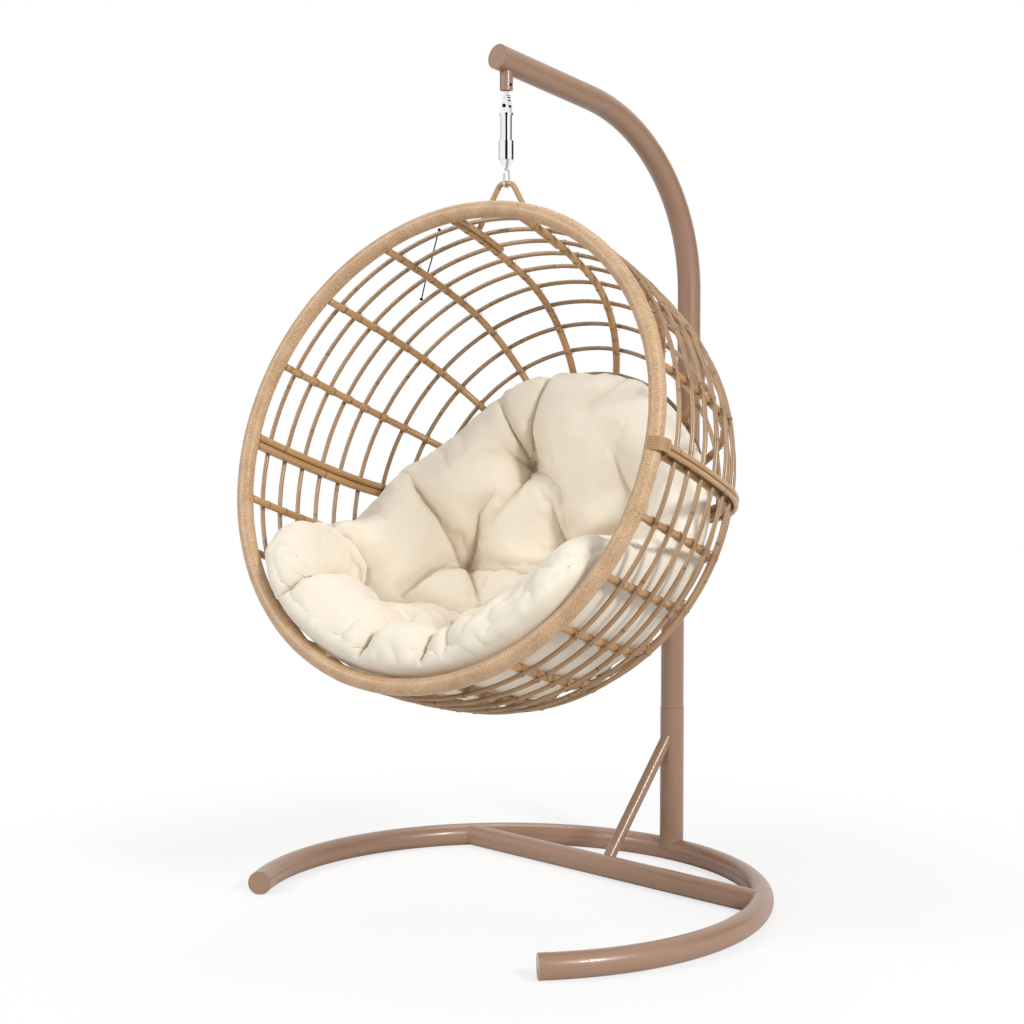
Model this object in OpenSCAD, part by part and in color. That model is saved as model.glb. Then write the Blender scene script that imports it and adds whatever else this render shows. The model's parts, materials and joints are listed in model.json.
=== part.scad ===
// Hanging egg chair: a cane basket with a tufted cushion, hung from a
// curved tube stand by a sprung swivel hanger.
// Millimetres. The origin is the centre of the base ring on the floor, the
// Z axis is the line the basket hangs on, the post stands on the +Y side
// and the stand is open to the -Y side.

/* [Base] */
// Radius of the base ring's centre line
ring_r = 550; // [500:5:620]
// Outer diameter of the ring's tube
ring_tube_d = 52; // [44:1:60]
// Half of the ring's arc, measured from the post
ring_half_arc = 128; // [115:1:140]
// Depth of the flat that the ring stands on
foot_flat = 0.5; // [0.3:0.1:0.8]
// Distance of the cross tube from the ring's centre
cross_tube_y = 316; // [260:5:360]
// Outer diameter of the cross tube
cross_tube_d = 50; // [40:1:50]
// Wall of the ring, the cross tube and the mast
tube_wall = 2; // [1.5:0.1:2.5]
// Thickness of the end plugs' flanges
plug_flange = 3; // [2:0.5:5]
// Depth of the end plugs inside their tubes
plug_depth = 18; // [10:1:30]

/* [Mast] */
// Outer diameter of the lower post
post_d = 56; // [54:1:60]
// Height of the joint between the lower post and the mast
splice_z = 366; // [340:2:400]
// Outer diameter of the mast and of its arm
mast_d = 54; // [50:1:56]
// Height where the mast starts to bend backwards
s_bend_z = 600; // [560:10:640]
// Bend radius of the two gentle bends
s_bend_r = 500; // [400:10:600]
// How far the bends carry the mast backwards
s_bend_offset = 54; // [40:1:60]
// Height of the joint between the mast and the arm
arm_splice_z = 1110; // [1050:10:1180]
// Height where the arm's bend starts
arm_bend_z = 1344; // [1320:1:1360]
// Bend radius of the arm
arm_bend_r = 423; // [400:1:430]
// Rise of the arm's straight end above level
arm_rise = 10.8; // [6:0.2:14]
// Length of the arm past the hanging line
arm_overhang = 24; // [20:1:40]
// Length of the sleeves inside the mast's joints
spigot_length = 180; // [120:10:220]
// Thread size of the mast's bolts
mast_bolt_d = 8; // [6:1:10]
// Outer diameter of the brace
brace_d = 28; // [22:1:30]
// Height where the brace meets the post
brace_top_z = 318; // [280:2:330]

/* [Hanger] */
// Outer diameter of the sleeve under the arm
sleeve_d = 28; // [24:1:32]
// Height of the sleeve's lower end
sleeve_bottom_z = 1746; // [1740:1:1750]
// Diameter of the pin inside the sleeve
hanger_pin_d = 8; // [6:1:9]
// Diameter of the pin through the spring's bracket
bracket_pin_d = 6; // [5:0.5:7]
// Radial running clearance of the pins and of the swivel
running_gap = 0.05; // [0.03:0.01:0.09]
// Outer diameter of the spring's upper tube
spring_tube_d = 25; // [23:1:27]
// Length of the spring's upper tube
spring_tube_length = 83; // [80:1:95]
// Outer diameter of the sliding lower sleeve
spring_sleeve_d = 33; // [31:1:36]
// Length of the tube that stays in the sleeve when the spring is pressed
sleeve_guide = 6; // [4:1:10]
// Wall of the spring's tubes
spring_wall = 1.5; // [1:0.1:2]
// Diameter of the spring's draw rod
rod_d = 8; // [7:0.5:9]
// Wire diameter of the spring
coil_wire_d = 2.4; // [2:0.1:3]
// Turns of the spring
coil_turns = 11; // [9:1:13]
// How far the spring gives
bounce_travel = 24; // [18:1:26]
// Rod diameter of the hook
hook_rod_d = 5; // [4:0.5:6]
// Bend radius of the hook
hook_bend_r = 9.5; // [9:0.5:11]

/* [Basket] */
// How far the basket is turned on its swivel
basket_yaw = 10.7; // [0:0.1:20]
// How far the basket's mouth leans back
basket_tilt = 18.4; // [10:0.2:22]
// Radius of the rim's centre line
rim_r = 508; // [480:2:520]
// Outer diameter of the wrapped rim
rim_d = 35; // [30:1:40]
// Distance of the rim's top in front of the hanging line
rim_top_forward = 85; // [80:1:100]
// Height of the rim's top centre line
rim_top_z = 1489; // [1480:1:1495]
// Diameter of the ribs and of the inner belt's canes
rib_d = 16; // [14:1:20]
// Diameter of the thin hoops
hoop_d = 10; // [8:1:14]
// Diameter of the outer belt's canes
outer_belt_d = 11; // [8:1:16]
// Ribs in the upper half, between the belts
top_ribs = 8; // [6:2:10]
// Ribs in the lower half, between the belts
low_ribs = 11; // [7:2:13]
// Largest radius of the ribs' centre line
belly_r = 504; // [480:2:516]
// Depth where the basket is widest
belly_depth = 80; // [60:5:100]
// Lengthwise curve radius of the basket's side
side_curve_r = 1600; // [1200:50:2400]
// Depth where the side turns into the shoulder
shoulder_depth = 300; // [260:5:330]
// Curve radius of the shoulder
shoulder_curve_r = 300; // [260:5:340]
// Slope where the shoulder turns into the back
shoulder_end_angle = 62; // [56:1:66]
// Distance of the first hoop from the rim along a rib
first_hoop = 52; // [44:1:54]
// Spacing of the hoops along a rib
hoop_pitch = 58; // [48:1:70]
// Radius of the ring that the ribs end on
back_ring_r = 98; // [80:2:120]
// Rod diameter of the hanging loop
loop_d = 12; // [10:1:13]
// Bend radius of the hanging loop's two bends
loop_bend_r = 20; // [16:1:24]
// Straight length on top of the hanging loop, which the hook turns on
loop_flat = 8; // [4:1:12]
// Height of the top of the hanging loop
loop_top_z = 1557; // [1548:1:1560]

/* [Cushion] */
// Thickness of the cushion
cushion_thickness = 120; // [90:5:140]
// Clearance between the cushion and the canes
cushion_gap = 0.3; // [0.3:0.1:1]
// Depth of the sewn tufts
tuft_depth = 62; // [40:2:70]
// Width of the hollow around a tuft
tuft_width = 88; // [60:2:110]
// Spacing of the tufts across the cushion
tuft_spacing = 262; // [220:2:280]

/* [Hidden] */

$fn = 64;

powder = [0.62, 0.49, 0.42];
cane = [0.80, 0.63, 0.43];
steel = [0.80, 0.81, 0.83];
dark = [0.10, 0.10, 0.10];
cream = [0.95, 0.91, 0.83];

touch = 0.3;           // gap between pieces that rest on one another
seam = 0.04;           // gap between the lengths of one bent piece
hair = 0.2;            // radial play of a sleeve pushed into a tube
past = 5;              // how far a cutter runs past what it cuts

// ---- Base -----------------------------------------------------------------

ring_z = ring_tube_d / 2 - foot_flat;

// A length of tube along Z, hollow unless its wall is zero.
module tube(length, d, wall = 0) {
  difference() {
    cylinder(h = length, d = d);
    if (wall > 0)
      translate([0, 0, -past])
        cylinder(h = length + 2 * past, d = d - 2 * wall);
  }
}

// A bent tube in the XY plane, round the Z axis, from one angle to another,
// short of each end by half a seam.
module bent_tube(bend_r, d, from, to, wall = 0) {
  short = seam / 2 / bend_r * 180 / PI;
  rotate([0, 0, from + short])
    rotate_extrude(angle = to - from - 2 * short, $fn = 180)
      translate([bend_r, 0])
        difference() {
          circle(d = d, $fn = 48);
          if (wall > 0)
            circle(d = d - 2 * wall, $fn = 48);
        }
}

// A ball that joins two lengths of a bent cane or rod from the inside.
module knuckle(d) {
  sphere(d = d - hair, $fn = 32);
}

// The space that the base ring takes, used as a cutter.
module ring_space() {
  translate([0, 0, ring_z])
    rotate_extrude($fn = 180)
      translate([ring_r, 0])
        circle(d = ring_tube_d, $fn = 48);
}

module base_ring() {
  color(powder)
    difference() {
      translate([0, 0, ring_z])
        bent_tube(ring_r, ring_tube_d, 90 - ring_half_arc, 90 + ring_half_arc, tube_wall);
      translate([-ring_r * 1.5, -ring_r * 1.5, -ring_tube_d])
        cube([ring_r * 3, ring_r * 3, ring_tube_d]);
    }
}

// A flanged plug for a tube's end. The flange lies above the XY plane.
module plug(d, wall) {
  translate([0, 0, touch / 3])
    cylinder(h = plug_flange, d = d);
  translate([0, 0, -plug_depth])
    cylinder(h = plug_depth + plug_flange, d = d - 2 * wall - 2 * hair);
}

module base_plug(side) {
  end_angle = 90 + side * ring_half_arc;
  color(powder)
    difference() {
      rotate([0, 0, end_angle])
        translate([ring_r, 0, ring_z])
          rotate([-90 * side, 0, 0])
            plug(ring_tube_d, tube_wall + 1);
      translate([-ring_r * 1.5, -ring_r * 1.5, -ring_tube_d])
        cube([ring_r * 3, ring_r * 3, ring_tube_d]);
    }
}

module base_plug_left() {
  base_plug(1);
}

module base_plug_right() {
  base_plug(-1);
}

module cross_tube() {
  reach = sqrt(ring_r * ring_r - cross_tube_y * cross_tube_y);
  color(powder)
    difference() {
      translate([-reach, cross_tube_y, ring_z])
        rotate([0, 90, 0])
          tube(2 * reach, cross_tube_d, tube_wall);
      ring_space();
    }
}

// ---- Mast -----------------------------------------------------------------

post_wall = tube_wall + (post_d - mast_d) / 2;
post_foot = 12;        // solid height of the post above the ring
post_foot_z = ring_z + 8;

module lower_post() {
  color(powder)
    difference() {
      translate([0, ring_r, post_foot_z])
        cylinder(h = splice_z - post_foot_z, d = post_d);
      translate([0, ring_r, ring_z + ring_tube_d / 2 + post_foot])
        cylinder(h = splice_z, d = post_d - 2 * post_wall);
      ring_space();
      bolt_holes(ring_r, splice_z);
    }
}

// The brace runs from the middle of the cross tube up to the post.
brace_foot = [0, cross_tube_y, ring_z];
brace_head = [0, ring_r, brace_top_z];
brace_run = brace_head - brace_foot;
brace_length = norm(brace_run);
brace_lean = atan2(brace_run[1], brace_run[2]);

module post_brace() {
  color(powder)
    difference() {
      translate(brace_foot)
        rotate([-brace_lean, 0, 0])
          tube(brace_length, brace_d, tube_wall);
      translate([-ring_r, cross_tube_y, ring_z])
        rotate([0, 90, 0])
          cylinder(h = 2 * ring_r, d = cross_tube_d);
      translate([0, ring_r, 0])
        cylinder(h = splice_z * 2, d = post_d);
    }
}

s_bend_angle = acos(1 - s_bend_offset / (2 * s_bend_r));
s_bend_height = 2 * s_bend_r * sin(s_bend_angle);
arm_y = ring_r + s_bend_offset;
arm_bend_angle = 90 - arm_rise;
// The bend's centre, and where its far end is
arm_bend_y = arm_y - arm_bend_r;
arm_straight_y = arm_bend_y + arm_bend_r * cos(arm_bend_angle);
arm_straight_z = arm_bend_z + arm_bend_r * sin(arm_bend_angle);
arm_straight_length = (arm_straight_y + arm_overhang) / cos(arm_rise);
arm_over_axis_z = arm_straight_z + arm_straight_y * tan(arm_rise);

// Stands a bend drawn in the XY plane up in the plane X = 0.
module in_side_plane() {
  rotate([90, 0, 90])
    children();
}

// Holes for the bolts on either side of a joint, open to the back.
module bolt_holes(y, z) {
  for (side = [-1, 1])
    translate([0, y, z + side * spigot_length / 4])
      rotate([-90, 0, 0])
        cylinder(h = post_d, d = mast_bolt_d + 2 * hair);
}

module mast_pole() {
  s_bend_top_z = s_bend_z + s_bend_height;
  color(powder)
    difference() {
      union() {
        translate([0, ring_r, splice_z + touch])
          tube(s_bend_z - splice_z - touch, mast_d, tube_wall);
        translate([0, ring_r + s_bend_r, s_bend_z])
          in_side_plane()
            bent_tube(s_bend_r, mast_d, 180 - s_bend_angle, 180, tube_wall);
        translate([0, arm_y - s_bend_r, s_bend_top_z])
          in_side_plane()
            bent_tube(s_bend_r, mast_d, -s_bend_angle, 0, tube_wall);
        translate([0, arm_y, s_bend_top_z])
          tube(arm_splice_z - s_bend_top_z, mast_d, tube_wall);
      }
      bolt_holes(ring_r, splice_z);
      bolt_holes(arm_y, arm_splice_z);
    }
}

module mast_arm() {
  color(powder)
    difference() {
      union() {
        translate([0, arm_y, arm_splice_z + touch])
          tube(arm_bend_z - arm_splice_z - touch, mast_d, tube_wall);
        translate([0, arm_bend_y, arm_bend_z])
          in_side_plane()
            bent_tube(arm_bend_r, mast_d, 0, arm_bend_angle, tube_wall);
        along_arm()
          tube(arm_straight_length, mast_d, tube_wall);
      }
      bolt_holes(arm_y, arm_splice_z);
    }
}

// Places +Z along the arm's straight end, starting at its bend.
module along_arm() {
  translate([0, arm_straight_y, arm_straight_z])
    rotate([90 - arm_rise, 0, 0])
      children();
}

module arm_plug() {
  color(powder)
    along_arm()
      translate([0, 0, arm_straight_length])
        plug(mast_d, tube_wall);
}

module spigot(y, z) {
  color(steel)
    difference() {
      translate([0, y, z - spigot_length / 2])
        tube(spigot_length, mast_d - 2 * tube_wall - 2 * hair, tube_wall);
      bolt_holes(y, z);
    }
}

module lower_spigot() {
  spigot(ring_r, splice_z);
}

module upper_spigot() {
  spigot(arm_y, arm_splice_z);
}

// A low dome-headed bolt on the back of the mast, its shank pointing -Y.
module mast_bolt(y, z, d) {
  shank = d / 2 - 6;
  translate([0, y, z])
    rotate([-90, 0, 0]) {
      translate([0, 0, d / 2 + touch])
        cylinder(h = 4, d1 = mast_bolt_d * 2, d2 = mast_bolt_d * 1.2);
      translate([0, 0, shank])
        cylinder(h = d / 2 - shank + touch + 1, d = mast_bolt_d);
    }
}

module mast_bolts() {
  color(powder) {
    mast_bolt(ring_r, splice_z - spigot_length / 4, post_d);
    mast_bolt(ring_r, splice_z + spigot_length / 4, mast_d);
    mast_bolt(arm_y, arm_splice_z - spigot_length / 4, mast_d);
    mast_bolt(arm_y, arm_splice_z + spigot_length / 4, mast_d);
  }
}

// ---- Hanger ---------------------------------------------------------------

sleeve_wall = 4;
hanger_pin_z = sleeve_bottom_z + 11;
link_pitch = 26;                      // between the link's two eyes
bracket_pin_z = hanger_pin_z - link_pitch;
link_thick = 8;
upper_eye_d = hanger_pin_d + 10;
lower_eye_d = bracket_pin_d + 8;
cheek_thick = 2.5;
cheek_gap = link_thick + 2 * touch;   // between the bracket's two cheeks
base_disc = 5;                        // thickness of the bracket's base
base_disc_z = bracket_pin_z - 38;     // underside of the bracket's base
base_disc_d = spring_tube_d + 6;

module hanger_sleeve() {
  color(powder)
    difference() {
      translate([0, 0, sleeve_bottom_z])
        tube(arm_over_axis_z - sleeve_bottom_z, sleeve_d, sleeve_wall);
      translate([0, 0, -touch / 3])
        along_arm()
          cylinder(h = arm_straight_length, d = mast_d);
      translate([-sleeve_d, 0, hanger_pin_z])
        rotate([0, 90, 0])
          cylinder(h = 2 * sleeve_d, d = hanger_pin_d);
    }
}

module hanger_pin() {
  color(steel)
    translate([-sleeve_d / 2 + 1, 0, hanger_pin_z])
      rotate([0, 90, 0])
        cylinder(h = sleeve_d - 2, d = hanger_pin_d);
}

module swing_link() {
  color(steel)
    difference() {
      union() {
        translate([-link_thick / 2, 0, hanger_pin_z])
          rotate([0, 90, 0])
            cylinder(h = link_thick, d = upper_eye_d);
        translate([0, link_thick / 2, bracket_pin_z])
          rotate([90, 0, 0])
            cylinder(h = link_thick, d = lower_eye_d);
        translate([0, 0, bracket_pin_z + lower_eye_d / 4])
          cylinder(h = link_pitch - lower_eye_d / 4 - upper_eye_d / 4, d = link_thick - 0.5);
      }
      translate([-link_thick, 0, hanger_pin_z])
        rotate([0, 90, 0])
          cylinder(h = 2 * link_thick, r = hanger_pin_d / 2 + running_gap);
      translate([0, link_thick, bracket_pin_z])
        rotate([90, 0, 0])
          cylinder(h = 2 * link_thick, r = bracket_pin_d / 2 + running_gap);
    }
}

// One three-cornered cheek, its round top on the pin.
module cheek() {
  half_base = base_disc_d / 2 - 2;
  drop = bracket_pin_z - base_disc_z - base_disc;
  top_r = lower_eye_d / 2;
  lean = atan2(half_base - top_r, drop);
  difference() {
    union() {
      cylinder(h = cheek_thick, d = lower_eye_d);
      linear_extrude(cheek_thick)
        polygon([
          [-top_r * cos(lean), top_r * sin(lean)],
          [top_r * cos(lean), top_r * sin(lean)],
          [half_base, -drop],
          [-half_base, -drop]
        ]);
    }
    translate([0, 0, -past])
      cylinder(h = cheek_thick + 2 * past, d = bracket_pin_d);
  }
}

module spring_bracket() {
  color(steel)
    difference() {
      union() {
        for (side = [0, 180])
          rotate([0, 0, side])
            translate([0, -cheek_gap / 2, bracket_pin_z])
              rotate([90, 0, 0])
                cheek();
        translate([0, 0, base_disc_z])
          cylinder(h = base_disc, d = base_disc_d);
      }
      translate([0, cheek_gap, bracket_rivet_z])
        rotate([90, 0, 0])
          cylinder(h = 2 * cheek_gap, d = rivet_d);
    }
}

module bracket_pin() {
  length = cheek_gap + 2 * cheek_thick + 2;
  color(steel)
    translate([0, length / 2, bracket_pin_z])
      rotate([90, 0, 0])
        cylinder(h = length, d = bracket_pin_d);
}

rivet_d = 5;
bracket_rivet_z = bracket_pin_z - 17;

module bracket_rivet() {
  length = cheek_gap + 2 * cheek_thick;
  head = 1.5;
  color(dark) {
    translate([0, length / 2 + head, bracket_rivet_z])
      rotate([90, 0, 0])
        cylinder(h = length + 2 * head, d = rivet_d);
    for (side = [-1, 1])
      translate([0, side * (length / 2 + touch / 3 + head / 2), bracket_rivet_z])
        rotate([90, 0, 0])
          cylinder(h = head, d = rivet_d * 1.6, center = true);
  }
}

spring_top_z = base_disc_z;
spring_tube_bottom_z = spring_top_z - spring_tube_length;
seat_thick = 4;
seat_z = spring_tube_bottom_z + seat_thick;
sleeve_base = 5;
sleeve_foot_gap = 5;   // from the sleeve's floor up to the tube's foot
spring_sleeve_length = sleeve_base + sleeve_foot_gap + bounce_travel + sleeve_guide;
sleeve_floor_z = spring_tube_bottom_z - sleeve_foot_gap - sleeve_base;
sleeve_top_z = sleeve_floor_z + spring_sleeve_length;
lip = 4;
cap_height = 15;
cap_bottom_z = sleeve_floor_z - cap_height;
rod_top_z = spring_top_z - 5;
nut_height = 6;
washer_thick = 3;
washer_z = rod_top_z - 3 - nut_height - washer_thick;
rod_bottom_z = sleeve_floor_z;

// The tube that the spring works in, with the spring's seat at its foot.
module spring_tube() {
  color(steel)
    difference() {
      translate([0, 0, spring_tube_bottom_z])
        cylinder(h = spring_tube_length, d = spring_tube_d);
      translate([0, 0, seat_z])
        cylinder(h = spring_tube_length, d = spring_tube_d - 2 * spring_wall);
      translate([0, 0, spring_tube_bottom_z - past])
        cylinder(h = spring_tube_length, r = rod_d / 2 + running_gap);
    }
}

// The sleeve that slides on the tube and goes down with the rod.
module spring_sleeve() {
  color(steel)
    difference() {
      translate([0, 0, sleeve_floor_z])
        cylinder(h = spring_sleeve_length, d = spring_sleeve_d);
      translate([0, 0, sleeve_floor_z + sleeve_base])
        cylinder(h = spring_sleeve_length - sleeve_base - lip,
          d = spring_sleeve_d - 2 * spring_wall);
      translate([0, 0, sleeve_floor_z + sleeve_base])
        cylinder(h = spring_sleeve_length, r = spring_tube_d / 2 + touch);
      translate([0, 0, sleeve_floor_z - past])
        cylinder(h = spring_sleeve_length, d = rod_d);
    }
}

module spring_rod() {
  color(steel)
    translate([0, 0, rod_bottom_z])
      cylinder(h = rod_top_z - rod_bottom_z, d = rod_d);
}

module spring_washer() {
  color(steel)
    translate([0, 0, washer_z])
      difference() {
        cylinder(h = washer_thick, d = spring_tube_d - 2 * spring_wall - 2 * touch);
        translate([0, 0, -past])
          cylinder(h = washer_thick + 2 * past, d = rod_d);
      }
}

module spring_nut() {
  color(steel)
    translate([0, 0, washer_z + washer_thick])
      difference() {
        cylinder(h = nut_height, d = rod_d * 1.8, $fn = 6);
        translate([0, 0, -past])
          cylinder(h = nut_height + 2 * past, d = rod_d);
      }
}

// The coil: a helical tube of six sides with eight rings to a turn.
coil_r = (spring_tube_d - 2 * spring_wall - coil_wire_d) / 2 - touch;
coil_bottom = seat_z + coil_wire_d / 2 + touch;
coil_top = washer_z - coil_wire_d / 2 - touch;
coil_pitch = (coil_top - coil_bottom) / coil_turns;
coil_steps = coil_turns * 8;
echo(least_gap_between_turns = coil_pitch - coil_wire_d);

function coil_point(step, side) =
  let (turn = step * 45,
       around = side * 60,
       out = coil_r + coil_wire_d / 2 * cos(around))
    [out * cos(turn), out * sin(turn),
     coil_bottom + coil_pitch * step / 8 + coil_wire_d / 2 * sin(around)];

// The faces of a closed tube made of rings of points, one step apart.
function tube_faces(steps, sides) =
  concat(
    [for (side = [1:sides - 2]) [0, side, side + 1]],
    [for (side = [1:sides - 2]) [0, side + 1, side] + [1, 1, 1] * steps * sides],
    [for (step = [0:steps - 1], side = [0:sides - 1])
      let (a = step * sides + side, b = step * sides + (side + 1) % sides)
        [a, a + sides, b]],
    [for (step = [0:steps - 1], side = [0:sides - 1])
      let (a = step * sides + side, b = step * sides + (side + 1) % sides)
        [b, a + sides, b + sides]]
  );

module spring_coil() {
  color(steel)
    polyhedron(
      points = [
        for (step = [0:coil_steps], side = [0:5]) coil_point(step, side)
      ],
      faces = tube_faces(coil_steps, 6)
    );
}

hook_head_d = 14;
hook_head = 3;
hook_neck = 4.5;
hook_top_z = cap_bottom_z - hook_rod_d / 2 - 2;
hook_bottom_z = loop_top_z - loop_d - touch - hook_rod_d / 2;
hook_straight = hook_top_z - hook_bottom_z - 2 * hook_bend_r;

// The cone under the sleeve, with a chamber for the hook's head.
module swivel_cap() {
  chamber_z = cap_bottom_z + hook_neck;
  color(steel)
    difference() {
      translate([0, 0, cap_bottom_z])
        cylinder(h = cap_height - touch / 3, d1 = 16, d2 = spring_sleeve_d - 3);
      translate([0, 0, chamber_z])
        cylinder(h = cap_height, d = hook_head_d + 2 * touch);
      translate([0, 0, cap_bottom_z - past])
        cylinder(h = cap_height, r = rod_d / 2 + running_gap);
    }
}

// A closed hook on a headed shank, in a plane that holds the basket's
// forward direction.
module swivel_hook() {
  color(steel)
    rotate([0, 0, basket_yaw]) {
      translate([0, 0, cap_bottom_z + hook_neck + touch / 3])
        cylinder(h = hook_head, d = hook_head_d);
      translate([0, 0, hook_top_z - hook_rod_d / 4])
        cylinder(h = cap_bottom_z + hook_neck + hook_head - hook_top_z, d = rod_d);
      for (side = [-1, 1]) {
        translate([0, side * hook_bend_r, hook_bottom_z + hook_bend_r])
          cylinder(h = hook_straight, d = hook_rod_d);
        for (height = [0, hook_straight])
          translate([0, side * hook_bend_r, hook_bottom_z + hook_bend_r + height])
            knuckle(hook_rod_d);
      }
      translate([0, 0, hook_bottom_z + hook_bend_r + hook_straight])
        in_side_plane()
          bent_tube(hook_bend_r, hook_rod_d, 0, 180);
      translate([0, 0, hook_bottom_z + hook_bend_r])
        in_side_plane()
          bent_tube(hook_bend_r, hook_rod_d, 180, 360);
    }
}

// ---- Basket ---------------------------------------------------------------
// In the basket's own frame X points to its right, Y into its depth and Z
// up along the mouth. The mouth's centre is the origin.

mouth_y = -rim_top_forward - rim_r * sin(basket_tilt);
mouth_z = rim_top_z - rim_r * cos(basket_tilt);

module in_basket() {
  rotate([0, 0, basket_yaw])
    translate([0, mouth_y, mouth_z])
      rotate([-basket_tilt, 0, 0])
        children();
}

// Turns Z into the basket's depth.
module into_depth() {
  rotate([-90, 0, 0])
    children();
}

// The ribs follow three arcs, given as [centre depth, centre radius,
// bend radius, first angle, last angle], the angles from the radius.
side_from = asin((rim_d / 2 + touch - belly_depth) / side_curve_r);
side_to = asin((shoulder_depth - belly_depth) / side_curve_r);
side_arc = [belly_depth, belly_r - side_curve_r, side_curve_r, side_from, side_to];
shoulder_arc = [
  shoulder_depth - shoulder_curve_r * sin(side_to),
  belly_r - side_curve_r + (side_curve_r - shoulder_curve_r) * cos(side_to),
  shoulder_curve_r, side_to, shoulder_end_angle
];
back_extra = shoulder_arc[1] / cos(shoulder_end_angle);
back_arc = [
  shoulder_arc[0] - back_extra * sin(shoulder_end_angle), 0,
  shoulder_curve_r + back_extra, shoulder_end_angle, 90
];
profile = [side_arc, shoulder_arc, back_arc];
shell_depth = back_arc[0] + back_arc[2];

function arc_length(arc) = arc[2] * (arc[4] - arc[3]) * PI / 180;
side_length = arc_length(side_arc);
shoulder_length = arc_length(shoulder_arc);

// The angle on its arc of the place a distance s along a rib.
function arc_at(s) = s < side_length ? 0 : s < side_length + shoulder_length ? 1 : 2;
function angle_at(s) =
  let (k = arc_at(s),
       before = k == 0 ? 0 : k == 1 ? side_length : side_length + shoulder_length)
    profile[k][3] + (s - before) / profile[k][2] * 180 / PI;
// The place itself, as [depth, radius], moved outwards by a distance.
function place_at(s, outwards = 0) =
  let (arc = profile[arc_at(s)], a = angle_at(s))
    [arc[0] + (arc[2] + outwards) * sin(a), arc[1] + (arc[2] + outwards) * cos(a)];

// The radius of the ribs' centre line at a depth.
function radius_at(depth) =
  let (arc = depth < shoulder_depth ? side_arc
    : depth < shoulder_arc[0] + shoulder_arc[2] * sin(shoulder_end_angle) ? shoulder_arc
    : back_arc)
    arc[1] + sqrt(max(0, arc[2] * arc[2] - (depth - arc[0]) * (depth - arc[0])));

// A cane round the basket at a place along the ribs.
module hoop(s, d, outwards) {
  at = place_at(s, outwards);
  into_depth()
    translate([0, 0, at[0]])
      rotate_extrude($fn = 180)
        translate([at[1], 0])
          circle(d = d, $fn = 32);
}

// A cane along one arc of the profile, drawn with X as the radius and Y as
// the depth.
module arc_cane(arc, from, to, d, outwards) {
  translate([arc[1], arc[0]])
    bent_tube(arc[2] + outwards, d, from, to);
}

// A ball that joins two arcs of a cane, at the end of an arc.
module arc_joint(arc, at, d, outwards) {
  translate([arc[1] + (arc[2] + outwards) * cos(at), arc[0] + (arc[2] + outwards) * sin(at)])
    knuckle(d);
}

// A cane from the mouth to a last angle on the back arc.
module profile_cane(d, outwards, last) {
  arc_cane(side_arc, side_from, side_to, d, outwards);
  arc_joint(side_arc, side_to, d, outwards);
  arc_cane(shoulder_arc, side_to, shoulder_end_angle, d, outwards);
  arc_joint(shoulder_arc, shoulder_end_angle, d, outwards);
  arc_cane(back_arc, shoulder_end_angle, last, d, outwards);
}

// Turns the profile's plane to an angle round the basket, from its top.
module at_azimuth(a) {
  rotate([0, a - 90, 0])
    children();
}

top_step = 180 / (top_ribs + 1);
low_step = 180 / (low_ribs + 1);
back_ring_angle = acos(back_ring_r / back_arc[2]);
rib_last = back_ring_angle - asin((rib_d / 2 + touch) / back_arc[2]);
hoop_out = (rib_d + hoop_d) / 2 + touch;
belt_out = (rib_d + outer_belt_d) / 2 + hoop_d + 2 * touch;

module rib(a) {
  in_basket()
    at_azimuth(a)
      profile_cane(rib_d, 0, rib_last);
}

module ribs_top_left() {
  color(cane)
    for (k = [1:top_ribs])
      if (k * top_step < 90)
        rib(k * top_step - 90);
}

module ribs_top_right() {
  color(cane)
    for (k = [1:top_ribs])
      if (k * top_step >= 90)
        rib(k * top_step - 90);
}

// The rib at the very foot goes with those on the right.
module ribs_low_left() {
  color(cane)
    for (k = [1:low_ribs])
      if (k * low_step > 90)
        rib(90 + k * low_step);
}

module ribs_low_right() {
  color(cane)
    for (k = [1:low_ribs])
      if (k * low_step <= 90)
        rib(90 + k * low_step);
}

belt_half = rib_d / 2 + touch;
outer_half = outer_belt_d / 2 + touch;

// Two canes side by side along the basket's middle, on the inside.
module belt_inner(side) {
  color(cane)
    for (above = [-1, 1])
      in_basket()
        at_azimuth(side * 90)
          translate([0, 0, above * belt_half])
            profile_cane(rib_d, 0, rib_last);
}

module belt_inner_left() {
  belt_inner(-1);
}

module belt_inner_right() {
  belt_inner(1);
}

// Two canes side by side outside the hoops, from rim to rim.
module belt_outer() {
  color(cane)
    for (above = [-1, 1])
      in_basket() {
        for (side = [-90, 90])
          at_azimuth(side)
            translate([0, 0, -above * outer_half * sign(side)])
              profile_cane(outer_belt_d, belt_out, 90);
        translate([0, back_arc[0] + back_arc[2] + belt_out, above * outer_half])
          knuckle(outer_belt_d);
      }
}

module rim() {
  color(cane)
    in_basket()
      into_depth()
        rotate_extrude($fn = 180)
          translate([rim_r, 0])
            circle(d = rim_d, $fn = 48);
}

hoop_end = (side_length + shoulder_length)
  + (back_ring_angle - shoulder_end_angle) / 180 * PI * back_arc[2];
hoop_count = floor((hoop_end - rib_d - hoop_d - first_hoop) / hoop_pitch) + 1;
hoops_each = ceil(hoop_count / 5);

// One node's share of the hoops, counted from the mouth.
module hoops(group) {
  color(cane)
    for (k = [group * hoops_each:min(hoop_count, (group + 1) * hoops_each) - 1])
      in_basket()
        hoop(first_hoop + k * hoop_pitch, hoop_d, hoop_out);
}

module hoops_mouth() {
  hoops(0);
}

module hoops_front() {
  hoops(1);
}

module hoops_middle() {
  hoops(2);
}

module hoops_shoulder() {
  hoops(3);
}

module hoops_back() {
  hoops(4);
}

module back_ring() {
  color(cane)
    in_basket()
      hoop(hoop_end, rib_d, 0);
}

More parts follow.
